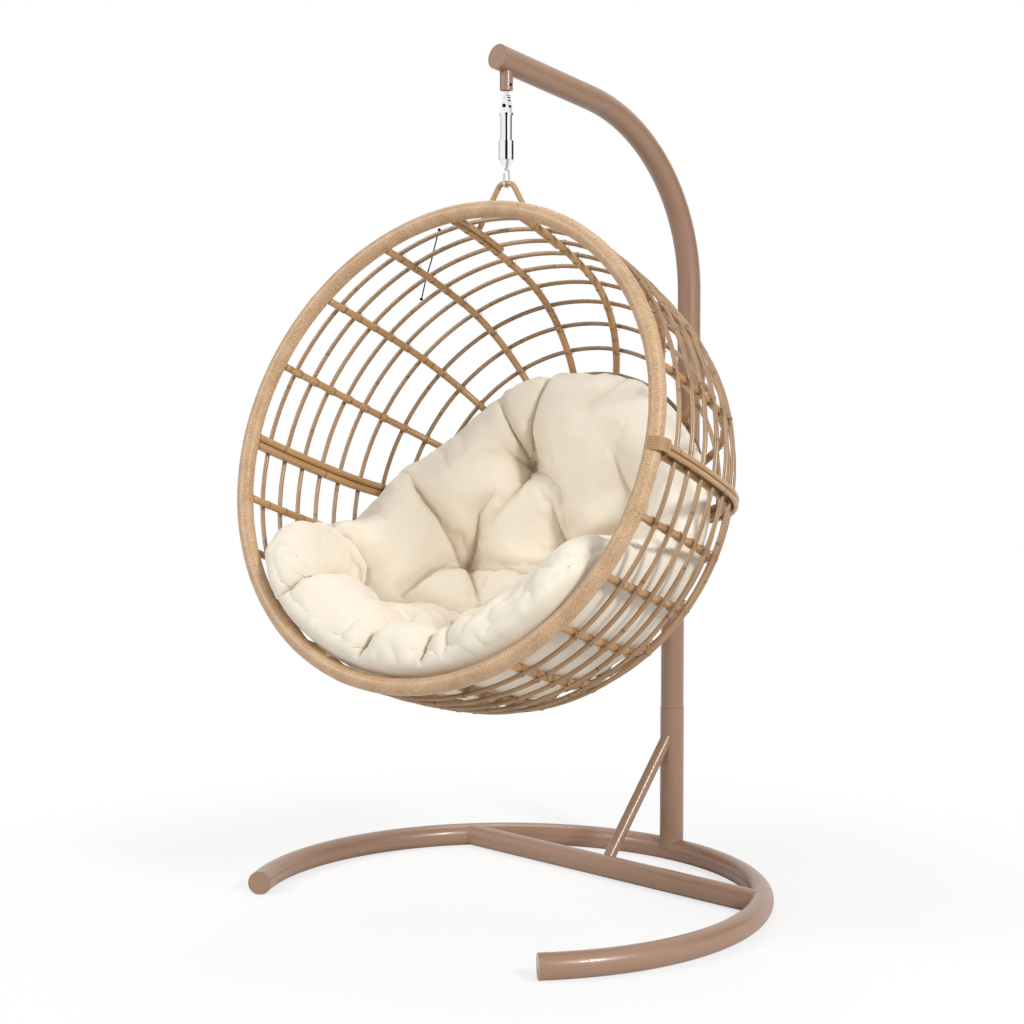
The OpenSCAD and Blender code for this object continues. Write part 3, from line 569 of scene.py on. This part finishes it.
# %% [markdown]
# ## Bindings
# Where a hoop crosses a rib, split cane is lashed round both, corner to
# corner, and back the other way. Each lashing is one small flat ring, spun
# once, then stretched to an oval that just clears both canes. There are
# hundreds, so each has only a few dozen faces.

# %% Bindings
binding_finish = cane_finish("binding", (0.46, 0.265, 0.115), (0.22, 0.110, 0.045), layered=False)
strip_half, strip_thick = 0.0013, 0.045
oval_wide, oval_high = 0.0112, 0.0141
near_by = 0.002  # half the step that gives a rib's direction
bm = bmesh.new()
ring = bmesh.ops.create_circle(bm, segments=4, radius=1.0)["verts"]
upright = Matrix.Rotation(math.pi / 2, 4, "X") @ Matrix.Rotation(math.pi / 4, 4, "Z")
bmesh.ops.transform(bm, matrix=upright, verts=ring)
bmesh.ops.scale(bm, verts=ring, vec=(strip_thick, 1, strip_half))
bmesh.ops.translate(bm, verts=ring, vec=(1, 0, 0))
bmesh.ops.spin(bm, geom=list(ring) + list(bm.edges), cent=(0, 0, 0), axis=(0, 0, 1),
               angle=2 * math.pi, steps=10, use_merge=True, use_duplicate=False,
               use_normal_flip=False)
lashing = mesh_of("lashing", bm)


def on_rib(azimuth, s, out):
    """The point at a distance along a rib, moved outwards."""
    radius, depth = profile_spot(s, out)
    return outward_at(azimuth) * radius + Vector((0, depth, 0))


def lashings(bm, azimuth, s):
    """Adds the two crossed lashings where a hoop crosses a rib."""
    middle = on_rib(azimuth, s, hoop_out / 2 + (hoop_d - rib_d) / 4)
    round_way = aside_at(azimuth)
    ahead, behind = on_rib(azimuth, s + near_by, 0), on_rib(azimuth, s - near_by, 0)
    along_rib = (ahead - behind).normalized()
    normal = round_way.cross(along_rib)
    for side in (-1, 1):
        wide = (round_way * rib_d + along_rib * side * hoop_d).normalized()
        turn = Matrix((wide * oval_wide, normal * oval_high, wide.cross(normal))).transposed()
        add_copy(bm, lashing, Matrix.Translation(middle) @ turn.to_4x4())


# Towards the back the ribs come too close together for a lashing.
rib_spacing, least_room = math.radians(15), 0.045
spots = [first_hoop + k * hoop_pitch for k in range(hoop_count)]
spots = [s for s in spots if profile_spot(s, 0)[0] * rib_spacing > least_room]
for half, sign in (("left", -1), ("right", 1)):
    bm = bmesh.new()
    for degree in [d for group in quarters.values() for d in group if d * sign > 0]:
        for s in spots:
            lashings(bm, math.radians(degree), s)
    finish_canes(bm)
    piece = new_mesh_object("bindings_" + half, bm, binding_finish, "basket")
    print("bindings", half, len(piece.data.polygons), "faces")

# %% [markdown]
# ## Rim
# The mouth is a thick hoop, closely wrapped in split cane. The turns lie side by
# side, each a little crowned, so the wrap is real shape: a short part of the
# tube is spun with four rows to a turn, copied all the way round, and every
# row is pushed out or in. Colour changes along the strand.


# %% Rim finish
wrap_slant = 2.0  # how many turns a strand moves on in one round of the tube


def wrap_finish(pitch):
    shop = Shop("rim_wrap")
    lie = shop.layer("straight")
    x, y, along = shop.parts(lie)
    around = y.angle_with(x) / (2 * math.pi)
    turn = along / pitch - wrap_slant * around
    strand = (turn.fraction() * math.pi).sine()
    fleck = shop.streaks(lie, (170.0, 170.0, 330.0), 3.0)
    patch = shop.streaks(lie, (30.0, 30.0, 30.0), 2.0)
    tone = (1.5 * fleck + 0.9 * patch - 0.7).at_least(0.0).at_most(1.0)
    skin = shop.blend(tone, (0.42, 0.240, 0.120), (0.74, 0.510, 0.305))
    # Painted shade: the grooves between the turns of the wrap are darkened.
    groove_shade = (1.0 - strand.ramp(0.05, 0.50)) * 0.35
    colour = shop.blend(groove_shade, skin, (0.26, 0.135, 0.060))
    shop.set(base_color=colour, roughness=0.34 + 0.2 * fleck)
    shop.set(coat_weight=0.2, coat_roughness=0.25)
    shop.bump(strand * 0.5 + fleck * 0.8, 0.7, 0.0011)
    return shop.material


# %% Rim
rim_turns, rim_rows, rim_sides, rim_parts = 640, 4, 20, 32
rim_pitch = 2 * math.pi * rim_r / rim_turns
rim_part_angle = 2 * math.pi / rim_parts
bm = bmesh.new()
lowest = Matrix.Translation((0, 0, -rim_r)) @ Matrix.Rotation(math.pi / 2, 4, "Y")
ring = bmesh.ops.create_circle(bm, segments=rim_sides, radius=rim_d / 2, matrix=lowest)["verts"]
bmesh.ops.spin(bm, geom=list(ring) + list(bm.edges), cent=(0, 0, 0), axis=(0, 1, 0),
               angle=rim_part_angle, steps=rim_turns * rim_rows // rim_parts,
               use_merge=False, use_duplicate=False, use_normal_flip=False)
short = bpy.data.meshes.new("rim_part")
bm.to_mesh(short)
for _ in range(rim_parts - 1):
    short.transform(Matrix.Rotation(rim_part_angle, 4, "Y"))
    bm.from_mesh(short)
bmesh.ops.remove_doubles(bm, verts=bm.verts, dist=0.00005)
layer = bm.loops.layers.float_vector.new("straight")
lies = {}
for vert in bm.verts:
    azimuth = math.atan2(vert.co.x, vert.co.z) % (2 * math.pi)
    out = math.hypot(vert.co.x, vert.co.z) - rim_r
    around = math.atan2(vert.co.y, out) / (2 * math.pi)
    turn = azimuth * rim_r / rim_pitch - wrap_slant * around
    crown = abs(math.sin(math.pi * turn)) ** 0.6
    slow = math.sin(7 * azimuth + 1.0) + 0.7 * math.sin(19 * azimuth)
    slow += 0.5 * math.sin(41 * azimuth + 2.0)
    grow = 1.0 + 0.030 * (crown - 0.75) + 0.010 * slow
    lies[vert] = (out, vert.co.y, azimuth * rim_r)
    vert.co = outward_at(azimuth) * (rim_r + out * grow) + Vector((0, vert.co.y * grow, 0))
whole = 2 * math.pi * rim_r
for face in bm.faces:
    far = max(lies[v][2] for v in face.verts)
    for loop in face.loops:
        x, y, z = lies[loop.vert]
        loop[layer] = (x, y, z + whole if far - z > whole / 2 else z)
finish_canes(bm)
rim = new_mesh_object("rim_wrapped", bm, wrap_finish(rim_pitch), "basket", "rim")
print("rim:", len(rim.data.polygons), "faces, a turn every", round(1000 * rim_pitch, 2), "mm")

# %% [markdown]
# ## Belt lashings
# On the right the outer belt's end is tied to the rim by nine turns of split
# cane, side by side, each going round the rim and the belt together.

# %% Belt lashings
tie_r, tie_out, tie_deep, tie_pitch, tie_wide = 0.0247, 0.0052, 0.0062, 0.0030, 1.3
bm = bmesh.new()
for turn in range(-4, 5):
    middle = Matrix.Translation((rim_r + tie_out, tie_deep, turn * tie_pitch))
    add_copy(bm, lashing, middle @ Matrix.Diagonal((tie_r, tie_r, tie_wide, 1.0)))
finish_canes(bm)
piece = new_mesh_object("belt_lashings", bm, plain_cane, "basket")

# %% [markdown]
# ## The ring and the cross at the back
# The ribs end on a small ring, closed by two crossed canes.

# %% Back ring
bm = bmesh.new()
ring_y = back_y + back_r * math.sin(back_ring_angle)
spin_cane(bm, rib_d / 2, *full_turn(back_ring_r, ring_y), step=0.01)
finish_canes(bm)
piece = new_mesh_object("back_ring_cane", bm, rib_finish, "basket", "back_ring")

# %% [markdown]
# ## The cushion
# The cushion is a sewn cloth bag with loose filling, drawn in by tufts. Cloth
# simulation gives it real folds: the bag is blown up from inside while the
# tufts stay pinned, and the cloth between them wrinkles by itself.


# %% Cushion cloth
def cushion_cloth():
    shop = Shop("cushion_cloth")
    place = shop.place()
    weave = shop.streaks(place, (420.0, 420.0, 90.0), 3.0)
    drift = shop.noise(place, 4.0)
    # Painted shade: a layer darkens the cloth in the creases and round the tufts.
    crease_shade = shop.parts(shop.layer("crease_shade"))[0]
    colour = shop.blend(drift, (0.86, 0.775, 0.640), (0.90, 0.825, 0.700))
    colour = shop.blend(0.75 * crease_shade, colour, (0.42, 0.290, 0.170))
    shop.set(base_color=colour, roughness=0.9, sheen_weight=0.15)
    shop.bump(weave + 1.5 * shop.noise(place, 55.0, 2.0), 0.25, 0.0012)
    return shop.material


cloth = cushion_cloth()


# %% The cushion's flat pattern
# A place on the cushion is given on its flat pattern, as if it were rolled out:
# across and back from the middle, in metres. A crease is a short line of such
# places with its strength at both ends.
cushion_eye = np.array((0.0, 0.150, 0.100))
lean = math.radians(39.5)
pattern_r = 0.480
down = np.array((0.0, math.sin(lean), -math.cos(lean)))
back = np.array((0.0, math.cos(lean), math.sin(lean)))
tufts = [(-0.177, 0.406), (-0.246, 0.118), (-0.314, -0.170),
         (0.013, 0.160), (0.272, 0.202), (0.203, -0.086)]
loose_tufts = [(0.081, 0.448), (-0.055, -0.128)]
creases = [
    ([tufts[0], (-0.22, 0.45), (-0.28, 0.50), (-0.34, 0.55)], 1.0, 0.25),
    ([tufts[0], (-0.18, 0.46), (-0.18, 0.53), (-0.16, 0.62), (-0.14, 0.67)], 0.9, 0.6),
    ([tufts[0], (-0.22, 0.41), (-0.29, 0.42)], 0.8, 0.1),
    ([tufts[0], (-0.18, 0.33), (-0.21, 0.24), (-0.24, 0.19)], 0.7, 0.1),
    ([tufts[0], (-0.08, 0.38), (0.0, 0.33), (0.03, 0.26), (0.03, 0.21)], 0.5, 0.2),
    ([tufts[3], (0.01, 0.20), (-0.01, 0.24), (-0.03, 0.28)], 1.0, 0.2),
    ([tufts[1], (-0.30, 0.13), (-0.37, 0.14), (-0.46, 0.16)], 1.0, 0.5),
    ([tufts[1], (-0.25, 0.16), (-0.27, 0.21), (-0.25, 0.27)], 1.0, 0.1),
    ([tufts[1], (-0.19, 0.05), (-0.12, -0.03)], 0.9, 0.4),
    ([tufts[1], (-0.16, 0.10), (-0.07, 0.10), tufts[3]], 0.8, 0.8),
    ([tufts[1], (-0.28, 0.07), (-0.29, 0.0), (-0.29, -0.09)], 0.8, 0.5),
    ([tufts[2], (-0.38, -0.12), (-0.43, -0.13), (-0.52, -0.19), (-0.60, -0.24)], 0.9, 0.4),
    ([tufts[2], (-0.38, -0.15), (-0.44, -0.20), (-0.54, -0.30)], 0.6, 0.3),
    ([tufts[2], (-0.26, -0.09), (-0.18, -0.07), (-0.11, -0.03), (-0.04, 0.04), tufts[3]], 1.0, 1.0),
    ([tufts[2], (-0.35, -0.21), (-0.35, -0.30), (-0.33, -0.40), (-0.32, -0.50)], 1.0, 0.8),
    ([(-0.05, -0.56), (-0.08, -0.42), (-0.13, -0.32), (-0.17, -0.22)], 1.0, 0.2),
    ([(0.10, -0.56), (0.07, -0.42), (0.01, -0.32), (-0.08, -0.20), (-0.14, -0.11)], 1.0, 0.4),
    ([(0.14, -0.56), (0.13, -0.42), (0.11, -0.34)], 0.5, 0.1),
    ([(-0.18, -0.42), (-0.21, -0.33), (-0.24, -0.25)], 0.1, 0.4),
    ([(0.12, 0.60), (0.20, 0.66)], 0.3, 0.3),
    ([tufts[4], (0.35, 0.26), (0.43, 0.33)], 0.8, 0.3),
    ([tufts[4], (0.26, 0.30), (0.26, 0.42)], 0.6, 0.2),
    ([tufts[3], (0.10, 0.18), (0.19, 0.20), tufts[4]], 0.7, 0.7),
    ([tufts[3], (0.08, 0.06), (0.14, -0.02), tufts[5]], 0.8, 0.8),
    ([tufts[5], (0.24, 0.05), tufts[4]], 0.6, 0.6),
    ([tufts[5], (0.30, -0.16), (0.38, -0.25)], 0.9, 0.3),
    ([tufts[5], (0.20, -0.22), (0.20, -0.38)], 0.8, 0.4),
]
print("pattern:", len(tufts), "tufts,", len(creases), "creases")


# %% Measuring on the pattern
def rolled_out(points):
    """Each point's place on the flat pattern, and its way from the eye."""
    ways = points - cushion_eye
    ways /= np.linalg.norm(ways, axis=1)[:, None]
    away = np.arccos(np.clip(ways @ down, -1, 1))
    turn = np.arctan2(ways[:, 0], ways @ back)
    return (away * pattern_r)[:, None] * np.stack([np.sin(turn), np.cos(turn)], 1), ways


def from_line(places, line, first, last):
    """Distance from a line of places, and the crease's strength there."""
    nearest = np.full(len(places), 9.0)
    strength = np.zeros(len(places))
    line = np.array(line)
    runs = np.linalg.norm(np.diff(line, axis=0), axis=1)
    whole, before = runs.sum(), 0.0
    for one, other, run in zip(line, line[1:], runs):
        share = np.clip((places - one) @ (other - one) / run**2, 0, 1)
        gap = np.linalg.norm(places - one - share[:, None] * (other - one), axis=1)
        closer = gap < nearest
        nearest[closer] = gap[closer]
        at = (before + share * run) / whole
        strength[closer] = (first + (last - first) * at)[closer]
        before += run
    return nearest, strength


def grooves(places, width, depth):
    """The deepest of all creases' hollows at each place."""
    hollow = np.zeros(len(places))
    for line, first, last in creases:
        gap, strength = from_line(places, line, first, last)
        hollow = np.maximum(hollow, depth * strength * np.exp(-((gap / width) ** 2)))
    return hollow


def pits(places, spots, width, depth):
    gaps = np.min([np.linalg.norm(places - np.array(spot), axis=1) for spot in spots], axis=0)
    return depth * np.exp(-((gaps / width) ** 2))


def get_points(mesh):
    points = np.empty(len(mesh.vertices) * 3)
    mesh.vertices.foreach_get("co", points)
    return points.reshape(-1, 3)


def set_points(mesh, points):
    mesh.vertices.foreach_set("co", points.ravel())
    mesh.update()


def get_normals(mesh):
    normals = np.empty(len(mesh.vertices) * 3)
    mesh.vertices.foreach_get("normal", normals)
    return normals.reshape(-1, 3)


def applied(piece):
    """The piece's mesh with its modifiers worked in."""
    bpy.context.view_layer.update()
    shown = piece.evaluated_get(bpy.context.evaluated_depsgraph_get())
    mesh = bpy.data.meshes.new_from_object(shown)
    piece.modifiers.clear()
    piece.data = mesh
    return mesh


def measured(mesh):
    """The mesh's points and normals, with their places on the pattern and how
    far each faces away from the sitter: -1 is the top, 1 the underside."""
    points, normals = get_points(mesh), get_normals(mesh)
    places, ways = rolled_out(points)
    return points, normals, places, ways, (normals * ways).sum(1)


def top_share(facing_away):
    """1 on the cushion's top, falling to 0 round its edge."""
    return np.clip(1.2 - 1.6 * facing_away, 0, 1)


# %% [markdown]
# Two of the solid's eight hollows have no tuft, so they are filled first. The
# solid is then shrunk by the room that is given back at the end, and an even
# mesh is drawn over it. Creases and tufts are pressed in broadly.

# %% Before the cloth
bag_mesh = nodes["cushion"].data.copy()
bag_mesh.transform(basket_place.inverted())
points, normals, places, ways, facing_away = measured(bag_mesh)
lift = pits(places, loose_tufts, 0.088, 0.062) * (facing_away < 0)
cloth_room = 0.004
set_points(bag_mesh, points - ways * lift[:, None] - normals * cloth_room)
bag = put("cushion_bag", bag_mesh)
remesh = bag.modifiers.new("remesh", "REMESH")
remesh.mode, remesh.voxel_size = "VOXEL", 0.0085
mesh = applied(bag)
points, normals, places, ways, facing_away = measured(mesh)
upper = top_share(facing_away)
pressed = grooves(places, 0.026, 0.020) + pits(places, tufts, 0.040, 0.022)
set_points(mesh, points - normals * (pressed * upper)[:, None])
start = get_points(mesh)
print("cushion:", len(start), "points before the cloth")

# %% [markdown]
# Tufts, creases and the underside are pinned. The rest of the cloth is blown
# up from inside, without weight, and is a little too large for the bag, so it
# wrinkles between the pins. No point may travel further than the cap.

# %% Cloth
cloth_frames, cloth_cap = 20, 0.028
pins = bag.vertex_groups.new(name="pins")
held = np.maximum(grooves(places, 0.007, 0.75), pits(places, tufts, 0.016, 1.0)) * upper
held = np.maximum(held, facing_away > 0.6)
for k in np.nonzero(held > 0.05)[0]:
    pins.add([int(k)], float(min(1.0, held[k])), "REPLACE")
settings = bag.modifiers.new("cloth", "CLOTH").settings
settings.quality = 5
settings.mass = 0.3
settings.use_pressure = True
settings.uniform_pressure_force = 4.0
settings.vertex_group_mass = "pins"
settings.tension_stiffness = settings.compression_stiffness = 15
settings.shear_stiffness = 5
settings.bending_stiffness = 0.5
settings.shrink_min = -0.06
settings.effector_weights.gravity = 0.0
for number in range(1, cloth_frames + 1):
    bpy.context.scene.frame_set(number)
mesh = applied(bag)
bpy.context.scene.frame_set(1)
moved = get_points(mesh) - start
far = np.linalg.norm(moved, axis=1)
print("cloth: moved", round(float(far.mean()), 4), "on average")
moved *= np.minimum(1.0, cloth_cap / np.maximum(far, 1e-6))[:, None]
set_points(mesh, start + moved)

# %% [markdown]
# The narrow creases and the tufts are cut into the smoothed bag, and where they
# run is kept as a layer of painted shade that darkens the cloth there. The lip
# is plumped out towards the rim. Then the bag is held inside the ribs, and a
# little off the rim.

# %% Seams and tufts
lip_from, lip_over = 0.16, 0.12
rib_gap, rim_gap = 2 * touch, 0.003
smooth = bag.modifiers.new("smooth", "SUBSURF")
smooth.levels = smooth.render_levels = 1
mesh = applied(bag)
points, normals, places, ways, facing_away = measured(mesh)
upper = top_share(facing_away)
cut = grooves(places, 0.0055, 0.011) + pits(places, tufts, 0.014, 0.014)
# Painted shade, strongest along the narrow creases and round the tufts, kept as a layer for the
# cloth's colour.
crease_shade = grooves(places, 0.0034, 1.0) + 0.25 * grooves(places, 0.020, 1.0)
crease_shade = np.clip(crease_shade + pits(places, tufts, 0.018, 0.5), 0, 1)
points = points - normals * (cut * upper)[:, None]
near_mouth = np.clip((lip_from - points[:, 1]) / lip_over, 0, 1)
points = points + normals * (cloth_room + 0.009 * near_mouth)[:, None]


def inner_radius(depth):
    """How far out a point may lie at each depth: the ribs' inner side."""
    limit = np.zeros(len(depth))
    for bend in profile:
        bend_r = bend[2] - rib_d / 2 - rib_gap
        inside = (depth >= bend[0] + bend_r * math.sin(bend[3])) | (bend is profile[0])
        height = np.sqrt(np.clip(bend_r**2 - (depth - bend[0]) ** 2, 0, None))
        limit = np.where(inside, bend[1] + height, limit)
    return limit


outwards = np.hypot(points[:, 0], points[:, 2])
share = np.minimum(1.0, inner_radius(points[:, 1]) / np.maximum(outwards, 1e-6))
points[:, [0, 2]] *= share[:, None]
outwards = np.hypot(points[:, 0], points[:, 2])
from_rim = np.hypot(outwards - rim_r, points[:, 1])
pushed = np.maximum(0.0, rim_d / 2 + rim_gap - from_rim) / np.maximum(from_rim, 1e-6)
share = 1 + (outwards - rim_r) * pushed / np.maximum(outwards, 1e-6)
points[:, [0, 2]] *= share[:, None]
points[:, 1] *= 1 + pushed
set_points(mesh, points)
mesh.transform(basket_place)
layer = mesh.attributes.new("crease_shade", "FLOAT_VECTOR", "POINT")
layer.data.foreach_set("vector", np.repeat((crease_shade * upper)[:, None], 3, 1).ravel())
mesh.materials.clear()
mesh.materials.append(cloth)
for polygon in mesh.polygons:
    polygon.use_smooth = True
print("cushion:", len(mesh.polygons), "faces")
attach(bag, "basket")
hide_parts("cushion")

# %% [markdown]
# ## Finishes for the frame's own pieces
# Tubes, pins and plugs are already the right shape, so they keep their solids
# and only get a finish.

# %% Finishes on the frame's pieces
dark_cord = Shop("dark_cord").set(base_color=(0.010, 0.010, 0.011), roughness=0.95,
                                  specular_ior_level=0.1).material
finishes = {
    "powder_coat": taupe,
    "bare_steel": plain_steel,
    "chrome": chrome,
    "rivet_black": dark_cord,
    "loop_paint": plain_cane,
    "cane": plain_cane,
    "cord_black": dark_cord,
}
slots = {part["node"]: part["material_slot"] for part in frame["record"]["subparts"]}
for name, piece in nodes.items():
    finish = finishes.get(slots[name])
    if finish:
        piece.data.materials.clear()
        piece.data.materials.append(finish)
print("finishes:", len(finishes))

# %% [markdown]
# ## The coil spring
# The coil stands on the cap at the tube's foot and shortens as the basket
# bounces. How much of its length it keeps at the joint's full travel is worked
# out here; the piece is not made to flatten.

# %% Coil spring
bm = bmesh.new()
bm.from_mesh(nodes["spring_coil"].data)
bmesh.ops.remove_doubles(bm, verts=bm.verts, dist=0.00001)
bmesh.ops.recalc_face_normals(bm, faces=bm.faces[:])
coil = new_mesh_object("coil_spring", bm, chrome, "spring_upper", "spring_coil")
foot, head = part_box("spring_coil")
joints = {joint["name"]: joint for joint in frame["record"]["behaviour"]["joints"]}
coil_long = head[2] - foot[2]
coil_keep = (coil_long - joints["spring_bounce"]["range_m"][1]) / coil_long
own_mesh(coil)
print("coil:", round(coil_long, 4), "long, keeps", round(coil_keep, 3))

# %% [markdown]
# ## The tie cord
# A loose dark cord lies over the hoops on the upper left. Its way is given as
# angles from the top and depths behind the mouth, and is filled in between.

# %% Tie cord
cord_r, cord_steps = 0.0015, 5
cord_route = [(-18, 0.070), (-20, 0.088), (-23.5, 0.122), (-27, 0.155), (-31, 0.188),
              (-34.5, 0.217), (-37.5, 0.242)]


def rib_radius(depth):
    """The radius of the ribs' middle line at one depth."""
    for bend in profile:
        if depth <= bend[0] + bend[2] * math.sin(bend[4]):
            return bend[1] + math.sqrt(bend[2] ** 2 - (depth - bend[0]) ** 2)
    return 0.0


def over_hoops(degree, depth):
    """Where the cord's middle lies on the hoops."""
    out = rib_radius(depth) + rib_d / 2 + hoop_d + 2 * touch + cord_r
    azimuth = math.radians(degree)
    return basket_place @ Vector((out * math.sin(azimuth), depth, out * math.cos(azimuth)))


cord_points = []
for (a0, d0), (a1, d1) in zip(cord_route, cord_route[1:]):
    for k in range(cord_steps):
        t = k / cord_steps
        cord_points.append(over_hoops(a0 + t * (a1 - a0), d0 + t * (d1 - d0)))
cord_points.append(over_hoops(*cord_route[-1]))
line = bpy.data.curves.new("tie_cord_line", "CURVE")
line.dimensions = "3D"
line.bevel_depth = cord_r
line.bevel_resolution = 3
line.use_fill_caps = True
spline = line.splines.new("POLY")
spline.points.add(len(cord_points) - 1)
for p, co in zip(spline.points, cord_points):
    p.co = (*co, 1.0)
cord_piece = put("tie_cord_line", line)
line.materials.append(dark_cord)
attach(cord_piece, "basket")
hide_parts("tie_cord")

# %% [markdown]
# ## Studio
# The floor and the world are white to the camera and to mirrors, but light the
# chair less than they show. The floor fades away at its edge. The lamps are
# large and soft, one in front, one on the right, one above. Three tall dark
# cards round the chair give the chrome its dark streaks; only mirrors see them.


# %% Studio
floor_half, fade_from, fade_to, floor_white = 6.0, 0.80, 1.55, 0.72
bm = bmesh.new()
bmesh.ops.create_grid(bm, x_segments=1, y_segments=1, size=floor_half)
floor = put("floor", mesh_of("floor", bm))
floor_shop = Shop("floor")
across, deep, _ = floor_shop.parts(floor_shop.place())
far_out = (across * across + deep * deep) ** 0.5
floor_shop.set(base_color=(0.93, 0.93, 0.93), roughness=0.9)
plain = Value(floor_shop, floor_shop.shader.outputs[0])
white = floor_shop.node("ShaderNodeEmission", {}, {"Color": (1, 1, 1, 1), "Strength": 1.0})
clear = floor_shop.node("ShaderNodeBsdfTransparent")
camera_ray = floor_shop.node("ShaderNodeLightPath", output="Is Camera Ray")
lit = floor_shop.node("ShaderNodeMixShader", {}, {0: camera_ray * floor_white, 1: plain, 2: white})
fade = far_out.ramp(fade_from, fade_to)
faded = floor_shop.node("ShaderNodeMixShader", {}, {0: fade, 1: lit, 2: clear})
floor_shop.feed(floor_shop.tree.nodes["Material Output"].inputs["Surface"], faded)
floor.data.materials.append(floor_shop.material)

world = bpy.data.worlds.new("studio")
bpy.context.scene.world = world
world.use_nodes = True
sky = world.node_tree.nodes["Background"]
sky.inputs["Color"].default_value = (1, 1, 1, 1)
sky_level, sky_seen = 0.44, 1.0
steps, wires = world.node_tree.nodes, world.node_tree.links
path = steps.new("ShaderNodeLightPath")
seen = path.outputs["Is Camera Ray"]
for ray in ("Is Glossy Ray", "Is Transmission Ray"):
    either = steps.new("ShaderNodeMath")
    either.operation = "MAXIMUM"
    wires.new(seen, either.inputs[0])
    wires.new(path.outputs[ray], either.inputs[1])
    seen = either.outputs[0]
strength = steps.new("ShaderNodeMix")
strength.data_type = "FLOAT"
wires.new(seen, strength.inputs["Factor"])
strength.inputs["A"].default_value = sky_level
strength.inputs["B"].default_value = sky_seen
wires.new(strength.outputs[0], sky.inputs["Strength"])


def lamp(name, place, aim, size, level):
    """A soft lamp that lights what faces it at its aim to the level given."""
    light = bpy.data.lights.new(name, "AREA")
    way = Vector(aim) - Vector(place)
    light.shape, light.size, light.energy = "DISK", size, level * (math.pi * way.length) ** 2
    piece = put(name, light)
    piece.location = place
    piece.rotation_euler = way.to_track_quat("-Z", "Y").to_euler()


lamp("key", (-1.8, -3.8, 3.6), (0, 0, 0.9), 1.3, 0.36)
lamp("right", (4.6, -0.6, 3.0), (0, 0, 0.9), 1.0, 0.62)
lamp("top", (-1.5, 1.5, 4.5), (0, 0, 1.0), 1.5, 0.20)

# %% Dark cards
dark_card = Shop("dark_card").set(base_color=(0.01, 0.01, 0.01), roughness=1.0,
                                  specular_ior_level=0.0).material
card_half_high, card_far, card_middle = 0.9, 3.0, 2.0
towards = eye.xy.normalized()
for number, (turn, half_wide) in enumerate([(0.0, 1.0), (104.0, 1.1), (-140.0, 0.7)]):
    facing = Vector((*(Matrix.Rotation(math.radians(turn), 2) @ towards), 0.0))
    aside = facing.cross(Vector((0, 0, 1)))
    stand_up = Matrix((aside * half_wide, Vector((0, 0, card_half_high)), facing)).transposed()
    bm = bmesh.new()
    bmesh.ops.create_grid(bm, x_segments=1, y_segments=1, size=1.0, matrix=stand_up.to_4x4())
    bmesh.ops.translate(bm, verts=bm.verts, vec=facing * card_far + Vector((0, 0, card_middle)))
    card = put("dark_card_%d" % number, mesh_of("dark_card", bm))
    card.data.materials.append(dark_card)
    card.visible_camera = card.visible_diffuse = False
    card.visible_shadow = card.visible_transmission = False
bpy.context.scene.view_settings.view_transform = "Standard"
print("studio: three lamps, three cards")
